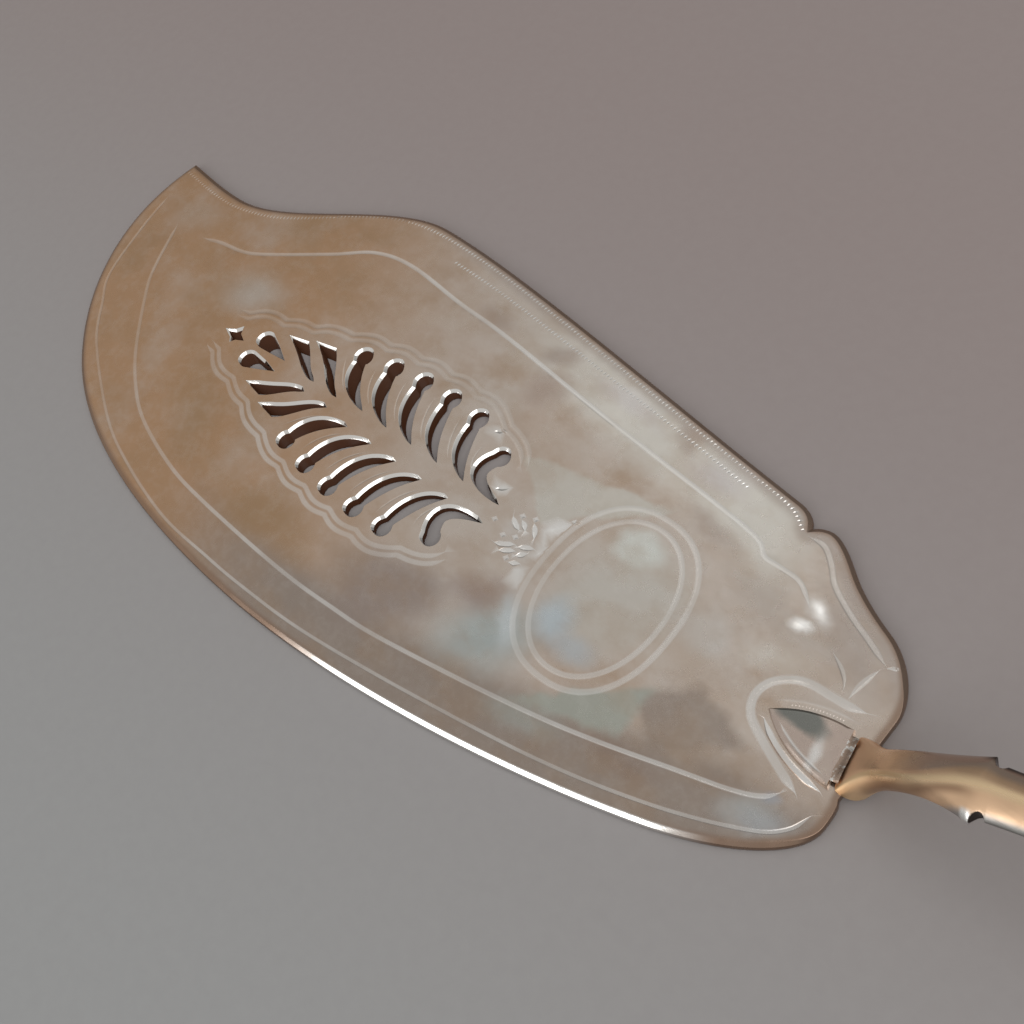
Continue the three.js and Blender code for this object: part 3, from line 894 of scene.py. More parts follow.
def handle_edge(length):
    """Pairs of distance and half width along the handle, as if the bites behind its shoulders weren't cut."""
    bite_end = SHOULDER_AT + BITE_LENGTH
    flare = SHOULDER_AT - NECK_AT
    third = (WAIST_AT - bite_end) / 3
    spread = END_WIDEST_AT - WAIST_AT
    foot = (0, FOOT_HALF_WIDTH)
    neck = (NECK_AT, NECK_HALF_WIDTH)
    shoulder = (SHOULDER_AT, SHOULDER_HALF_WIDTH)
    stem = (bite_end, STEM_HALF_WIDTH)
    waist = (WAIST_AT, WAIST_HALF_WIDTH)
    widest = (END_WIDEST_AT, END_HALF_WIDTH)
    curves = [
        (foot, (0.3 * NECK_AT, 0.8 * FOOT_HALF_WIDTH), (0.6 * NECK_AT, NECK_HALF_WIDTH), neck, 26),
        (neck, (NECK_AT + 0.47 * flare, NECK_HALF_WIDTH),
         (SHOULDER_AT - 0.27 * flare, 0.72 * SHOULDER_HALF_WIDTH), shoulder, 26),
        (shoulder, shoulder, stem, stem, 28),
        (stem, (bite_end + third, WAIST_HALF_WIDTH), (WAIST_AT - third, WAIST_HALF_WIDTH), waist, 22),
        (waist, (WAIST_AT + 0.45 * spread, WAIST_HALF_WIDTH),
         (END_WIDEST_AT - 0.28 * spread, END_HALF_WIDTH), widest, 34),
    ]
    pieces = [bezier(*controls)[:-1] for controls in curves]
    angle = np.linspace(0, math.pi / 2, 22)[:-1]
    run = END_WIDEST_AT + (length - END_WIDEST_AT) * np.sin(angle)
    end = np.stack([run, END_HALF_WIDTH * np.cos(angle)], 1)
    return np.concatenate(pieces + [end])


def handle_thickness(at, length):
    """How thick the handle is, so far along it."""
    stations = (0, NECK_AT, SHOULDER_AT, WAIST_AT, length)
    sizes = (FOOT_THICK, NECK_THICK, SHOULDER_THICK, STEM_THICK, END_THICK)
    for i in range(1, len(stations)):
        if at <= stations[i]:
            return sizes[i - 1] + (sizes[i] - sizes[i - 1]) * ease(at, stations[i - 1], stations[i])
    return END_THICK


def bite_reach(at, half_width):
    """How far the section reaches sideways: less in the round bites behind the shoulders."""
    share = (at - SHOULDER_AT) / BITE_LENGTH
    if share < 0 or share > 1:
        return half_width
    return half_width - BITE_DEPTH * math.sqrt(max(1 - (2 * share - 1) ** 2, 0))


def section_shares(at):
    """How much of the foot's flat and of the stem's ridged section there is, so far along the handle."""
    foot = max(1 - ease(at, 0, FOOT_FLAT_LENGTH), 0.6 * ease(at, WAIST_AT, END_WIDEST_AT))
    stem = ease(at, 0.55 * SHOULDER_AT, SHOULDER_AT)
    return foot, stem * (1 - foot)


def handle_section(at):
    """The handle's section with its corners worn round, as shares of its half width and half thickness."""
    foot, stem = section_shares(at)
    flat_top = np.array(((0.97, 0.55), (0.85, 0.98), (0, 1), (-0.85, 0.98), (-0.97, 0.55)))
    near_crest = np.array(((0.82, 0.4), (0.6, 0.7), (0, 0.8), (-0.5, 0.88), (-0.78, 0.28)))
    ridge = np.array(((0.8, 0.22), (0.45, 0.66), (0, 1), (-0.45, 0.66), (-0.8, 0.22)))
    top = foot * flat_top + stem * ridge + (1 - foot - stem) * near_crest
    loop = np.concatenate([[(1, -0.38)], top, [(-1, -0.38), (-0.6, -1), (0.6, -1)]])
    for _ in range(3):
        following = np.roll(loop, -1, 0)
        loop = np.stack([0.75 * loop + 0.25 * following, 0.25 * loop + 0.75 * following], 1).reshape(-1, 2)
    return loop


def crest_place(at):
    """Where the crest lies across the handle, as a share of its half width."""
    foot, stem = section_shares(at)
    return -0.85 * foot - 0.5 * (1 - foot - stem)


def add_handle_rings(shape, layers):
    """Adds the handle's cross-sections from foot to end, with each vertex's place along and across it."""
    station, aside, bite = layers
    line = handle_line()
    along = distances(line)
    length = along[-1]
    heading = np.gradient(line, axis=0)
    heading /= np.linalg.norm(heading, axis=1, keepdims=True)
    rings = []
    for at, half_width in handle_edge(length):
        x, z = (np.interp(at, along, line[:, axis]) for axis in (0, 1))
        tx, tz = (np.interp(at, along, heading[:, axis]) for axis in (0, 1))
        half_thick = 0.5 * handle_thickness(at, length)
        reach = bite_reach(at, half_width)
        crest = crest_place(at)
        rings.append([])
        for across, lift in handle_section(at):
            side = min(max(across * half_width, -reach), reach)
            place = from_foot(x - tz * lift * half_thick - FOOT_FRONT_X, side)
            vertex = shape.verts.new((*place, z + tx * lift * half_thick))
            vertex[station] = at
            vertex[aside] = (crest - across) / (1 + math.copysign(crest, crest - across))
            vertex[bite] = float(abs(across) * half_width > reach + 0.01)
            rings[-1].append(vertex)
    return rings


def stand_on_blade(shape):
    """Cuts away what would lie below the blade's top and closes the cut."""
    everything = shape.verts[:] + shape.edges[:] + shape.faces[:]
    level = Vector((0, 0, THICK))
    cut = bmesh.ops.bisect_plane(shape, geom=everything, plane_co=level, plane_no=(0, 0, 1), clear_inner=True)
    rim = [item for item in cut["geom_cut"] if isinstance(item, bmesh.types.BMEdge)]
    bmesh.ops.contextual_create(shape, geom=rim)
    bmesh.ops.recalc_face_normals(shape, faces=shape.faces[:])


def make_handle():
    """The handle as a skin over its cross-sections, standing on the blade."""
    shape = bmesh.new()
    labels = ("station", "aside", "bite")
    layers = [shape.verts.layers.float.new(label) for label in labels]
    rings = add_handle_rings(shape, layers)
    for ring, following in zip(rings, rings[1:]):
        for j in range(len(ring)):
            k = (j + 1) % len(ring)
            shape.faces.new((ring[j], ring[k], following[k], following[j]))
    shape.faces.new(rings[0][::-1])
    shape.faces.new(rings[-1])
    stand_on_blade(shape)
    vertices = within([tuple(v.co) for v in shape.verts], "handle")
    values = {label: [v[layer] for v in shape.verts] for label, layer in zip(labels, layers)}
    shape.verts.index_update()
    faces = [tuple(v.index for v in f.verts) for f in shape.faces]
    shape.free()
    return mesh_piece("ridged_handle", vertices, faces, HANDLE_SHARP, values)


# Solder seam


def make_solder():
    """An uneven ramp of solder that fills the corner between the heel plate and the foot."""
    vertices = []
    for i in range(SEAM_STEPS + 1):
        share = i / SEAM_STEPS
        across = SEAM_LENGTH * (share - 0.5)
        fade = math.sqrt(max(1 - (2 * share - 1) ** 8, 0.02))
        broad = noise.noise(Vector((0.9 * across, 3.1, 0)))
        fine = noise.noise(Vector((2.7 * across, 9.4, 0)))
        lump = 0.9 + 0.25 * broad + 0.1 * fine
        height = (seam_high.z - seam_low.z) * fade * min(lump, 1.0)
        for along, rise in SEAM_SECTION:
            vertices.append((*from_foot(along, across), seam_low.z + rise * height))
    sides = len(SEAM_SECTION)
    faces = []
    for i in range(SEAM_STEPS):
        for j in range(sides):
            k = (j + 1) % sides
            faces.append((i * sides + j, i * sides + k, (i + 1) * sides + k, (i + 1) * sides + j))
    faces.append(tuple(range(sides))[::-1])
    faces.append(tuple(range(SEAM_STEPS * sides, (SEAM_STEPS + 1) * sides)))
    return mesh_piece("solder_ramp", within(vertices, "solder_seam"), faces, SOLDER_SHARP, {})


# Materials

GREY_SILVER = (0.635, 0.557, 0.49)
TAN_TARNISH_AND_REFLECTION = (0.52, 0.325, 0.195)
DEEP_TARNISH = (0.43, 0.28, 0.165)
DIM_SILVER = (0.375, 0.31, 0.265)
LIGHT_SILVER = (0.76, 0.725, 0.66)
CLEAN_SILVER = (0.90, 0.89, 0.865)
PALE_FILM = (0.60, 0.485, 0.40)
BLUE_FILM = (0.47, 0.53, 0.525)
GREEN_FILM = (0.455, 0.475, 0.42)
WARM_SHEEN = (0.68, 0.665, 0.605)
DULL_EDGE = (0.46, 0.39, 0.345)
BROWN_EDGE_SHADE = (0.30, 0.19, 0.13)
# Dark brown painted shade for the slot walls and the blade's under edge
SLOT_PAINTED_SHADE = (0.068, 0.027, 0.014)
PINK_SILVER = (0.56, 0.46, 0.40)
PALE_PINK_SILVER = (0.63, 0.54, 0.47)
TEAL_REFLECTION = (0.20, 0.215, 0.20)
FOOT_GOLD = (0.95, 0.65, 0.43)
NECK_BROWN = (0.78, 0.53, 0.34)
STEM_SILVER = (0.64, 0.57, 0.48)
FAR_SIDE_SHADE_BROWN = (0.46, 0.37, 0.32)
CREST_SHADE = (0.36, 0.22, 0.14)
CREST_HIGHLIGHT_GOLD = (0.90, 0.68, 0.42)
NEAR_EDGE_ROSE_REFLECTION = (0.50, 0.43, 0.42)
NEAR_EDGE_GREY_REFLECTION = (0.34, 0.335, 0.315)
BITE_SHADE = (0.06, 0.045, 0.04)
SOLDER_BROWN = (0.44, 0.33, 0.26)
SOLDER_GLINT = (0.82, 0.80, 0.76)
NEAR_PAPER = ((0.32, 0.322, 0.322), (0.34, 0.342, 0.342))
FAR_PAPER = ((0.302, 0.252, 0.242), (0.319, 0.267, 0.256))

# Soft patches on the blade: centre, half sizes, turn, softness, colour and strength
BROAD_PATCHES = (
    ((-92.0, 9.5), (12.0, 7.0), 0.5, 0.9, (0.58, 0.50, 0.43), 0.9),
    ((-117.0, 15.0), (9.0, 6.0), 0.5, 0.9, PALE_FILM, 0.5),
    ((-84.0, -12.0), (14.0, 9.0), -0.6, 0.9, DEEP_TARNISH, 0.5),
    ((-55.0, -22.5), (13.0, 8.0), 0.1, 0.8, DEEP_TARNISH, 0.8),
    ((-30.0, -18.0), (16.0, 9.0), 0.2, 0.7, (0.38, 0.31, 0.275), 0.9),
    ((-10.0, -14.5), (12.0, 8.0), 0.5, 0.9, BLUE_FILM, 0.9),
    ((1.0, 0.0), (12.0, 14.0), 0.0, 0.6, (0.64, 0.63, 0.58), 0.6),
    ((18.0, -17.5), (8.0, 3.4), 0.3, 0.8, (0.35, 0.27, 0.225), 0.75),
    ((36.0, -11.8), (7.0, 3.5), 0.5, 0.9, (0.475, 0.475, 0.46), 0.9),
    ((13.0, 3.0), (6.0, 6.5), 0.0, 0.8, (0.70, 0.69, 0.665), 0.75),
    ((24.0, 6.5), (7.0, 4.0), 0.4, 0.9, LIGHT_SILVER, 0.5),
    ((31.0, 14.5), (11.0, 5.4), -0.5, 0.8, (0.50, 0.43, 0.38), 0.8),
    ((38.2, -8.6), (2.6, 1.4), 0.4, 0.9, (0.42, 0.46, 0.52), 0.7),
    ((-17.8, 25.7), (10.0, 2.8), -0.15, 0.9, (0.74, 0.70, 0.685), 0.7),
    ((1.8, 23.6), (9.0, 3.0), -0.17, 0.9, (0.69, 0.64, 0.625), 0.7),
    ((-6.7, 26.5), (4.0, 2.2), -0.2, 0.7, (0.48, 0.41, 0.37), 0.7),
    ((-47.0, 28.0), (6.0, 3.2), -0.1, 0.8, (0.47, 0.38, 0.32), 0.7),
    ((-32.0, 27.0), (4.6, 2.8), -0.1, 0.8, (0.47, 0.39, 0.34), 0.7),
    ((-29.0, 21.5), (6.0, 4.0), -0.1, 0.9, (0.48, 0.375, 0.315), 0.7),
    ((20.0, 13.5), (14.0, 6.0), -0.2, 0.9, (0.55, 0.485, 0.43), 0.7),
)
CLOSE_PATCHES = (
    ((-16.0, -10.5), (7.0, 5.0), 0.3, 0.9, (0.40, 0.315, 0.28), 0.8),
    ((6.0, 17.0), (8.0, 2.6), -0.15, 0.9, (0.52, 0.445, 0.39), 0.8),
    ((-0.7, 8.3), (5.6, 4.0), 0.1, 0.6, (0.76, 0.785, 0.74), 0.9),
    ((-4.0, -7.2), (5.0, 5.5), 0.3, 0.9, (0.58, 0.655, 0.70), 0.9),
    ((1.2, -9.4), (6.0, 3.4), 0.2, 0.9, (0.54, 0.585, 0.615), 0.75),
    ((-9.4, -11.8), (6.5, 2.4), -0.95, 0.9, (0.68, 0.735, 0.755), 0.75),
    ((-16.6, -0.6), (5.0, 3.6), -0.45, 0.6, (0.72, 0.69, 0.66), 0.65),
    ((1.5, -21.0), (9.0, 3.5), 0.25, 0.9, (0.44, 0.455, 0.42), 0.75),
    ((36.0, -13.0), (6.0, 2.6), 0.45, 0.9, (0.46, 0.475, 0.485), 0.85),
)


def add_node(tree, kind, inputs=None, **settings):
    """A new node with its settings, and with each given input linked or set."""
    made = tree.nodes.new(kind)
    for key, value in settings.items():
        setattr(made, key, value)
    for socket, value in (inputs or {}).items():
        if isinstance(value, bpy.types.NodeSocket):
            tree.links.new(value, made.inputs[socket])
        else:
            made.inputs[socket].default_value = value
    return made


class Paint:
    """Short calls that add nodes to one material."""

    def __init__(self, name, metallic=1.0):
        self.material = bpy.data.materials.new(name)
        self.material.use_nodes = True
        self.tree = self.material.node_tree
        self.shader = self.tree.nodes["Principled BSDF"]
        self.shader.inputs["Metallic"].default_value = metallic
        spot = self.node("ShaderNodeTexCoord").outputs["Object"]
        scale = (1 / MM, 1 / MM, 1 / MM)
        self.spot = self.node("ShaderNodeMapping", {"Vector": spot, "Scale": scale}).outputs[0]

    def node(self, kind, inputs=None, **settings):
        """A new node of this material."""
        return add_node(self.tree, kind, inputs, **settings)

    def feed(self, socket, value):
        """Links a value to the shader."""
        self.tree.links.new(value, self.shader.inputs[socket])

    def attribute(self, name):
        """The mesh's layer of that name."""
        return self.node("ShaderNodeAttribute", attribute_name=name).outputs["Fac"]

    def noise(self, scale, detail, rough, stretch=None, turn=0.0):
        """Soft noise with features of about 1 / scale millimetres. Another turn gives another pattern."""
        spot = self.spot
        if stretch:
            settings = {"Vector": spot, "Scale": stretch, "Rotation": (0, 0, turn)}
            spot = self.node("ShaderNodeMapping", settings).outputs[0]
        inputs = {"Vector": spot, "Scale": scale, "Detail": detail, "Roughness": rough}
        return self.node("ShaderNodeTexNoise", inputs).outputs[0]

    def span(self, value, low, high, start=0.0, end=1.0):
        """Maps low to start and high to end, smoothly, and stays within them."""
        inputs = {"Value": value, "From Min": low, "From Max": high, "To Min": start, "To Max": end}
        return self.node("ShaderNodeMapRange", inputs, interpolation_type="SMOOTHSTEP").outputs[0]

    def math(self, operation, a, b=0.0):
        """One sum on values."""
        return self.node("ShaderNodeMath", {0: a, 1: b}, operation=operation).outputs[0]

    def times(self, first, *others):
        """The product of several values."""
        for other in others:
            first = self.math("MULTIPLY", first, other)
        return first

    def most(self, first, *others):
        """The largest of several values."""
        for other in others:
            first = self.math("MAXIMUM", first, other)
        return first

    def vector(self, operation, a, b=(0, 0, 0), output="Vector"):
        """One sum on vectors."""
        return self.node("ShaderNodeVectorMath", {0: a, 1: b}, operation=operation).outputs[output]

    def mix(self, factor, below, above):
        """A colour between two colours."""
        def colour(value):
            return value if isinstance(value, bpy.types.NodeSocket) else (*value, 1.0)
        inputs = {0: factor, 6: colour(below), 7: colour(above)}
        return self.node("ShaderNodeMix", inputs, data_type="RGBA").outputs[2]

    def wobble(self, amount, scale):
        """The place on the piece, shifted by soft noise so that edges drawn with it run unevenly."""
        inputs = {"Vector": self.spot, "Scale": scale, "Detail": 4.0}
        cloud = self.node("ShaderNodeTexNoise", inputs).outputs["Color"]
        centred = self.vector("SUBTRACT", cloud, (0.5, 0.5, 0.5))
        return self.vector("ADD", self.spot, self.vector("MULTIPLY", centred, (amount, amount, amount)))

    def beside(self, spot, start, end, soft):
        """1 to the left of the line from start to end, fading to 0 across it."""
        run, rise = end[0] - start[0], end[1] - start[1]
        length = math.hypot(run, rise)
        left = (-rise / length, run / length, 0)
        edge = start[0] * left[0] + start[1] * left[1]
        return self.span(self.vector("DOT_PRODUCT", spot, left, "Value"), edge - soft, edge + soft)

    def wedge(self, spot, corners, soft):
        """1 inside a many-sided patch whose corners run anticlockwise, fading to 0 across its edges."""
        sides = zip(corners, corners[1:] + corners[:1])
        return self.times(*(self.beside(spot, start, end, soft) for start, end in sides))

    def patch(self, spot, centre, half_sizes, turn, soft):
        """1 inside an oval patch, fading to 0 at its edge."""
        there = self.vector("SUBTRACT", spot, (*centre, 0))
        turned = self.node("ShaderNodeMapping", {"Vector": there, "Rotation": (0, 0, -turn)}).outputs[0]
        scaled = self.vector("MULTIPLY", turned, (1 / half_sizes[0], 1 / half_sizes[1], 0))
        return self.span(self.vector("LENGTH", scaled, output="Value"), 1.0, 1.0 - soft)

    def patches(self, spot, colour, rows):
        """A colour with oval patches of other colours laid over it."""
        for centre, half_sizes, turn, soft, tint, strength in rows:
            amount = self.times(self.patch(spot, centre, half_sizes, turn, soft), strength)
            colour = self.mix(amount, colour, tint)
        return colour

    def scratches(self, turns, fine):
        """Hairline scratches along the piece in a few layers, each finer than the one before, as a height."""
        lines = []
        for number, turn in enumerate(turns):
            streak = self.noise(fine * (1 + 0.17 * number), 2.0, 0.6, stretch=(0.05, 2.2, 1.0), turn=turn)
            lines.append(self.span(streak, 0.6, 0.74))
        return self.most(*lines)

    def relief(self, parts):
        """Chains bumps, each a height, a strength and a depth in millimetres."""
        normal = None
        for height, strength, depth in parts:
            inputs = {"Height": height, "Strength": strength, "Distance": depth * MM}
            if normal:
                inputs["Normal"] = normal
            normal = self.node("ShaderNodeBump", inputs).outputs[0]
        self.feed("Normal", normal)

    def finish(self, colour, rough):
        """The material, with its colour and its roughness."""
        self.feed("Base Color", colour)
        self.feed("Roughness", rough)
        return self.material


def blade_tarnish_and_reflection(paint, x, y):
    """Tan towards the tip, tarnish that is partly a painted warm reflection, and greyer silver towards the
    heel, clouded and stained.
    """
    # The tan towards the tip is tarnish and partly a painted reflection of a warm room.
    warm = paint.span(paint.math("ADD", x, paint.times(y, 0.55)), -26.0, -76.0)
    colour = paint.mix(warm, GREY_SILVER, TAN_TARNISH_AND_REFLECTION)
    cloud = paint.noise(0.035, 5.0, 0.62)
    colour = paint.mix(paint.span(cloud, 0.48, 0.66, 0.0, 0.6), colour, PALE_FILM)
    stain = paint.noise(0.05, 5.0, 0.62, stretch=(1.0, 1.3, 1.0), turn=0.6)
    return paint.mix(paint.span(stain, 0.5, 0.68, 0.0, 0.45), colour, DEEP_TARNISH)


def blade_bands(paint, colour, x, y, border):
    """A dim band along the belly, and a pale one along the back with a dull edge."""
    strip = paint.span(border, 14.0, 8.0)
    right = paint.span(x, -82.0, -40.0)
    back = paint.span(y, 8.0, 16.0)
    colour = paint.mix(paint.times(strip, right, paint.span(y, -4.0, -11.0)), colour, DIM_SILVER)
    straight = paint.times(paint.span(x, -50.0, -18.0), paint.span(x, 24.0, 12.0))
    colour = paint.mix(paint.times(straight, strip, back), colour, LIGHT_SILVER)
    outer = paint.times(paint.span(border, 3.4, 1.6), right, back, 0.7)
    return paint.mix(outer, colour, DULL_EDGE)


def blade_films(paint, colour, broad):
    """Pale, dim, bluish and brown films: wedges with crisp edges, and soft patches."""
    close = paint.wobble(3.0, 0.2)
    sheen = paint.wedge(close, ((-26.2, 11.0), (-15.9, 3.6), (-2.0, 14.0), (0.0, 16.5)), 0.5)
    colour = paint.mix(paint.times(sheen, 0.7), colour, WARM_SHEEN)
    shade = paint.wedge(close, ((19.4, -2.5), (12.5, -8.5), (19.4, -14.0), (29.0, -6.0)), 1.0)
    colour = paint.mix(paint.times(shade, 0.85), colour, DIM_SILVER)
    colour = paint.patches(broad, colour, BROAD_PATCHES)
    film = paint.wedge(close, ((-3.0, -20.5), (14.7, -15.0), (14.7, -5.5), (7.5, -12.0)), 0.9)
    colour = paint.mix(paint.times(film, 0.9), colour, GREEN_FILM)
    colour = paint.patches(close, colour, CLOSE_PATCHES)
    mottle = paint.noise(0.1, 4.0, 0.55, stretch=(1.0, 1.6, 1.0), turn=-0.5)
    colour = paint.mix(paint.span(mottle, 0.42, 0.66, 0.0, 0.25), colour, DEEP_TARNISH)
    return paint.mix(paint.span(paint.noise(0.45, 5.0, 0.7), 0.4, 0.7, 0.0, 0.07), colour, CLEAN_SILVER)


def blade_silver():
    """Old silver under tarnish and films, clean where it is cut, worn or rubbed, with grime in the slots."""
    paint = Paint("blade_silver")
    broad = paint.wobble(16.0, 0.035)
    x, y = paint.node("ShaderNodeSeparateXYZ", {0: broad}).outputs[:2]
    border, bright, wear, painted_shade = (paint.attribute(name) for name in ("border", "bright", "wear", "painted_shade"))
    colour = blade_bands(paint, blade_tarnish_and_reflection(paint, x, y), x, y, border)
    colour = blade_films(paint, colour, broad)
    # On this stretch of the belly's edge the clean silver is a worn edge and also a painted highlight where
    # the low key lamp catches it.
    highlit_belly = paint.times(paint.span(y, -12.0, -20.0), paint.span(x, -40.0, -20.0),
                           paint.span(x, 36.0, 22.0))
    # Brown tarnish and painted shade along the blade's edge, except on the belly where the highlight falls.
    browned_edge_shade = paint.times(paint.span(border, 1.6, 0.6, 0.0, 0.75), paint.math("SUBTRACT", 1.0, highlit_belly))
    colour = paint.mix(browned_edge_shade, colour, BROWN_EDGE_SHADE)
    rubbed_highlight = paint.times(paint.span(border, 1.0, 0.7), highlit_belly)
    # Two pale patches by the heel: polished scuffs with a painted glint, which the small glint lamp
    # brightens.
    uneven = paint.wobble(1.6, 0.4)
    scuff_glint = paint.most(paint.patch(uneven, (25.4, 14.9), (3.8, 2.0), -0.49, 1.0),
                       paint.patch(uneven, (24.8, 12.0), (3.0, 1.5), 0.33, 1.0))
    kept = paint.span(paint.noise(0.07, 3.0, 0.6), 0.35, 0.62, 0.65, 1.0)
    fresh = paint.times(bright, paint.span(x, -105.0, -60.0, 0.45, 1.0), kept)
    for clean in (rubbed_highlight, paint.times(scuff_glint, 0.9), fresh, paint.times(wear, 0.9)):
        colour = paint.mix(clean, colour, CLEAN_SILVER)
    # Painted shade: the slot walls and the under edge turn dark brown and dull, standing in for the shadowed
    # slots and edge.
    colour = paint.mix(painted_shade, colour, SLOT_PAINTED_SHADE)
    paint.feed("Metallic", paint.span(painted_shade, 0.6, 0.95, 1.0, 0.0))
    paint.feed("Specular IOR Level", paint.span(painted_shade, 0.6, 0.95, 0.5, 0.08))
    rough = paint.span(paint.noise(0.12, 5.0, 0.65), 0.3, 0.75, 0.2, 0.36)
    polish = paint.most(wear, rubbed_highlight, bright, paint.times(scuff_glint, 0.75))
    rough = paint.times(rough, paint.span(polish, 0.0, 1.0, 1.0, 0.4))
    scratch = paint.scratches((0.3, 1.1, 2.2, 2.8), 0.8)
    planish = paint.noise(0.11, 2.0, 0.5)
    paint.relief(((planish, 0.5, 0.2), (paint.noise(1.6, 3.0, 0.5), 0.04, 0.02), (scratch, 0.2, 0.012)))
    return paint.finish(colour, rough)


def heel_silver():
    """Pinkish silver with a painted dark teal reflection on its upper side and a painted pale highlight
    before the handle.
    """
    paint = Paint("heel_silver")
    spot = paint.wobble(2.0, 0.25)
    cloud = paint.span(paint.noise(0.16, 4.0, 0.6), 0.35, 0.7)
    colour = paint.mix(cloud, PINK_SILVER, PALE_PINK_SILVER)
    # Painted light: a pale highlight band before the handle and a dark teal reflection on the upper side.
    films = (
        ((36.6, -1.5), (1.1, 4.2), HANDLE_TURN, 0.9, CLEAN_SILVER, 0.8),
        ((31.9, 1.45), (5.9, 2.0), -0.02, 0.45, TEAL_REFLECTION, 0.9),
    )
    colour = paint.patches(spot, colour, films)
    colour = paint.mix(paint.attribute("bright"), colour, CLEAN_SILVER)
    rough = paint.span(paint.noise(0.5, 4.0, 0.6), 0.3, 0.75, 0.2, 0.36)
    scratch = paint.scratches((0.2, 1.4, 2.5), 1.0)
    paint.relief(((paint.noise(1.8, 4.0, 0.6), 0.12, 0.02), (scratch, 0.2, 0.012)))
    return paint.finish(colour, rough)


def handle_tarnish_and_light(paint, place, station, aside):
    """Brown tarnish that is partly a painted warm reflection, a painted golden highlight on the crest with
    painted shade below it, painted shade on the far side, a painted grey reflection on the near edge, and a
    cleaner stem.
    """
    # Gold at the foot to brown at the neck: tarnish, partly a painted warm reflection.
    brown = paint.mix(paint.span(station, 6.0, 22.0), FOOT_GOLD, NECK_BROWN)
    colour = paint.mix(paint.span(station, 26.0, 70.0, 0.0, 0.7), brown, STEM_SILVER)
    stain = paint.noise(0.16, 4.0, 0.6)
    colour = paint.mix(paint.span(stain, 0.5, 0.74, 0.0, 0.3), colour, DEEP_TARNISH)
    # Painted shade: the far side of the handle is painted darker brown.
    far_side_shade = paint.times(paint.span(station, 10.0, 17.0, 0.0, 0.75), paint.span(station, 60.0, 36.0))
    colour = paint.mix(paint.times(paint.span(aside, -0.3, -0.6), far_side_shade), colour, FAR_SIDE_SHADE_BROWN)
    # Painted shade: a dark band just below the crest.
    under = paint.times(paint.span(aside, 0.08, 0.2), paint.span(aside, 0.5, 0.25),
                        paint.span(place, SHOULDER_AT + 1.0, SHOULDER_AT - 2.0, 0.0, 0.8))
    colour = paint.mix(under, colour, CREST_SHADE)
    # Painted reflection: the near edge is painted rose-grey to grey, as the pale floor shows in it.
    edge_from = paint.span(place, 4.0, 13.0, 0.2, 0.62)
    edge = paint.span(paint.math("SUBTRACT", aside, edge_from), 0.0, 0.25)
    grey = paint.mix(paint.span(place, 8.0, 30.0), NEAR_EDGE_ROSE_REFLECTION, NEAR_EDGE_GREY_REFLECTION)
    colour = paint.mix(edge, colour, grey)
    # Painted highlight: a golden line along the crest.
    crest = paint.span(paint.math("ABSOLUTE", aside), 0.3, 0.0, 0.0, 0.9)
    return paint.mix(crest, colour, CREST_HIGHLIGHT_GOLD)


def handle_silver():
    """Smooth forged silver under brown tarnish and painted light, with a painted glint on the near shoulder
    and painted shade in the bites and by the far shoulder.
    """
    paint = Paint("handle_silver")
    cloud = paint.noise(0.12, 4.0, 0.6, stretch=(0.7, 1.3, 1.0))
    place = paint.attribute("station")
    station = paint.math("ADD", place, paint.times(paint.math("SUBTRACT", cloud, 0.5), 10.0))
    aside = paint.attribute("aside")
    colour = handle_tarnish_and_light(paint, place, station, aside)
    # Painted highlight: a white glint at the near shoulder's tip.
    shoulder = paint.times(paint.span(place, SHOULDER_AT - 1.3, SHOULDER_AT - 0.7),
                           paint.span(aside, 0.6, 0.8),
                           paint.span(place, SHOULDER_AT + 0.3, SHOULDER_AT))
    colour = paint.mix(shoulder, colour, CLEAN_SILVER)
    # Painted shade in the bites and beside the far shoulder.
    dark = paint.times(paint.span(aside, -0.7, -0.88),
                       paint.span(place, SHOULDER_AT - 1.5, SHOULDER_AT + 0.2),
                       paint.span(place, SHOULDER_AT + 8.0, SHOULDER_AT + 4.0))
    colour = paint.mix(paint.most(paint.attribute("bite"), dark), colour, BITE_SHADE)
    worn = paint.span(paint.noise(0.25, 4.0, 0.6), 0.3, 0.75, 0.18, 0.32)
    rough = paint.math("ADD", worn, paint.span(station, 10.0, 2.0, 0.0, 0.15))
    near = paint.times(paint.span(aside, 0.05, 0.25, 0.0, 0.12), paint.math("SUBTRACT", 1.0, shoulder))
    scratch = paint.scratches((0.05, 0.5, 1.6, 2.9), 0.9)
    paint.relief(((paint.noise(0.14, 2.0, 0.5), 0.2, 0.1), (scratch, 0.2, 0.012)))
    return paint.finish(colour, paint.math("ADD", rough, near))


def hard_solder():
    """Brown, slightly grainy solder with pale specks, which are painted glints."""
    paint = Paint("hard_solder")
    # Pale specks: painted glints on the solder.
    colour = paint.mix(paint.span(paint.noise(0.9, 4.0, 0.6), 0.5, 0.6), SOLDER_BROWN, SOLDER_GLINT)
    rough = paint.span(paint.noise(1.5, 3.0, 0.6), 0.3, 0.7, 0.18, 0.4)
    paint.relief(((paint.noise(2.2, 3.0, 0.6), 0.4, 0.08),))
    return paint.finish(colour, rough)


def floor_paper():
    """Plain pale grey paper with a faint grain, warmer at the far side."""
    paint = Paint("floor_paper", metallic=0.0)
    grain = paint.noise(0.6, 4.0, 0.6)
    y = paint.node("ShaderNodeSeparateXYZ", {0: paint.spot}).outputs[1]
    near, far = (paint.mix(grain, *shades) for shades in (NEAR_PAPER, FAR_PAPER))
    colour = paint.mix(paint.span(y, -100.0, 90.0), near, far)
    rough = paint.span(paint.noise(0.4, 3.0, 0.5), 0.3, 0.7, 0.75, 0.9)
    paint.relief(((paint.noise(1.4, 4.0, 0.6), 0.15, 0.05),))
    return paint.finish(colour, rough)


# Stage, light and camera

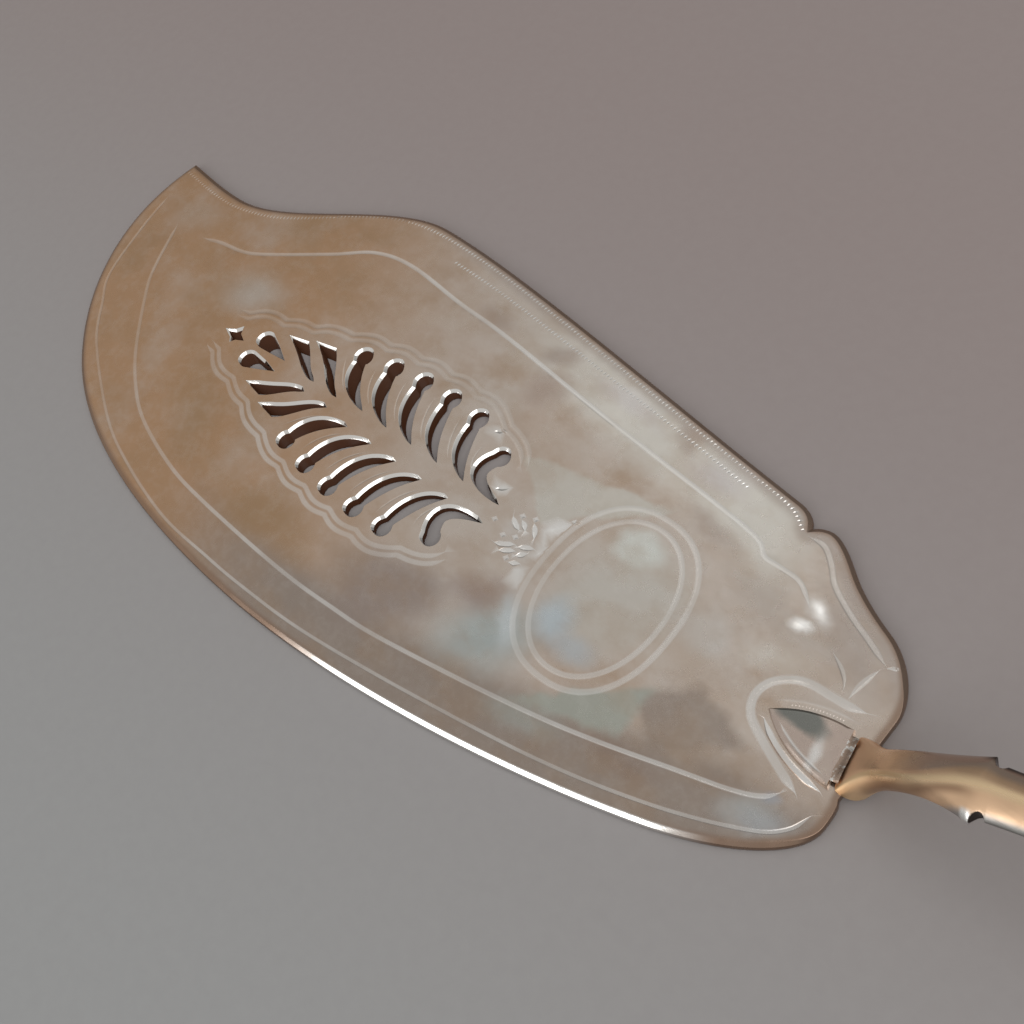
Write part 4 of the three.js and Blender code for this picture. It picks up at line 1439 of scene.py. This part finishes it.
FLOOR_HALF_M = 3.0
FLOOR_Z = -0.05
ROOM_COLOUR = (1.0, 0.985, 0.965, 1)
ROOM_BRIGHTENS = (0.0, -0.5, 1.0)
CAMERA_AT = (68.62, -33.64, 155.30)
CAMERA_RIGHT = (0.71584, 0.64604, -0.26496)
CAMERA_DOWN = (0.49563, -0.73739, -0.45892)
CAMERA_FORWARD = (-0.49186, 0.19719, -0.84805)
CAMERA_NEAR_M = 0.005
FOCAL_PIXELS = 1200
IMAGE_PIXELS = 1024
SENSOR_MM = 36.0


def make_floor():
    """A large sheet of paper just under the blade."""
    h = FLOOR_HALF_M
    mesh = bpy.data.meshes.new("floor")
    mesh.from_pydata([(-h, -h, 0), (h, -h, 0), (h, h, 0), (-h, h, 0)], [], [(0, 1, 2, 3)])
    floor = add_object("floor", mesh)
    floor.location.z = FLOOR_Z * MM
    floor.data.materials.append(floor_paper())


def soft_light(name, direction, distance, size, power):
    """A rectangular soft light, in metres and watts, aimed at the origin."""
    lamp = bpy.data.lights.new(name, "AREA")
    lamp.shape = "RECTANGLE"
    lamp.size, lamp.size_y = size
    lamp.energy = power
    light = add_object(name, lamp)
    away = Vector(direction).normalized()
    light.location = away * distance
    light.rotation_euler = away.to_track_quat("Z", "Y").to_euler()


def make_world():
    """A plain room: lighter overhead and towards the near side than at the far horizon."""
    world = bpy.data.worlds.new("soft_room")
    world.use_nodes = True
    tree = world.node_tree
    background = tree.nodes["Background"]
    background.inputs["Color"].default_value = ROOM_COLOUR
    heading = add_node(tree, "ShaderNodeTexCoord").outputs["Generated"]
    lean = add_node(tree, "ShaderNodeVectorMath", {0: heading, 1: ROOM_BRIGHTENS}, operation="DOT_PRODUCT")
    levels = {"Value": lean.outputs["Value"], "From Min": 0.0, "From Max": 0.6,
              "To Min": 0.25, "To Max": 0.58}
    level = add_node(tree, "ShaderNodeMapRange", levels)
    tree.links.new(level.outputs[0], background.inputs["Strength"])
    bpy.context.scene.world = world


def make_camera():
    """The photo's point of view."""
    data = bpy.data.cameras.new("camera")
    data.sensor_width = SENSOR_MM
    data.lens = SENSOR_MM * FOCAL_PIXELS / IMAGE_PIXELS
    data.clip_start = CAMERA_NEAR_M
    camera = add_object("camera", data)
    right, down, forward = (Vector(v) for v in (CAMERA_RIGHT, CAMERA_DOWN, CAMERA_FORWARD))
    turn = Matrix((right, -down, -forward)).transposed().to_4x4()
    camera.matrix_world = Matrix.Translation(Vector(CAMERA_AT) * MM) @ turn
    bpy.context.scene.camera = camera


make_camera()
make_floor()
make_world()
soft_light("key", (-0.2, -0.88, 0.43), 1.2, (0.8, 0.45), 2.4)
soft_light("side", (0.5, 0.0, 0.86), 1.3, (1.1, 1.0), 5.0)
soft_light("back", (-0.33, 0.45, 0.83), 1.2, (0.6, 0.3), 0.08)
soft_light("glint", (-0.258, 0.286, 0.923), 1.2, (0.05, 0.05), 0.012)

PIECES = (
    (make_blade, blade_silver, "blade", "blade_silver"),
    (make_heel_plate, heel_silver, "heel_plate", "heel_silver"),
    (make_handle, handle_silver, "handle", "handle_silver"),
    (make_solder, hard_solder, "solder_seam", "hard_solder"),
)
for make, finish, node, slot in PIECES:
    piece = make()
    piece.data.materials.append(finish())
    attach(piece, "root")
    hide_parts(node)

bpy.context.scene.view_settings.view_transform = "Standard"
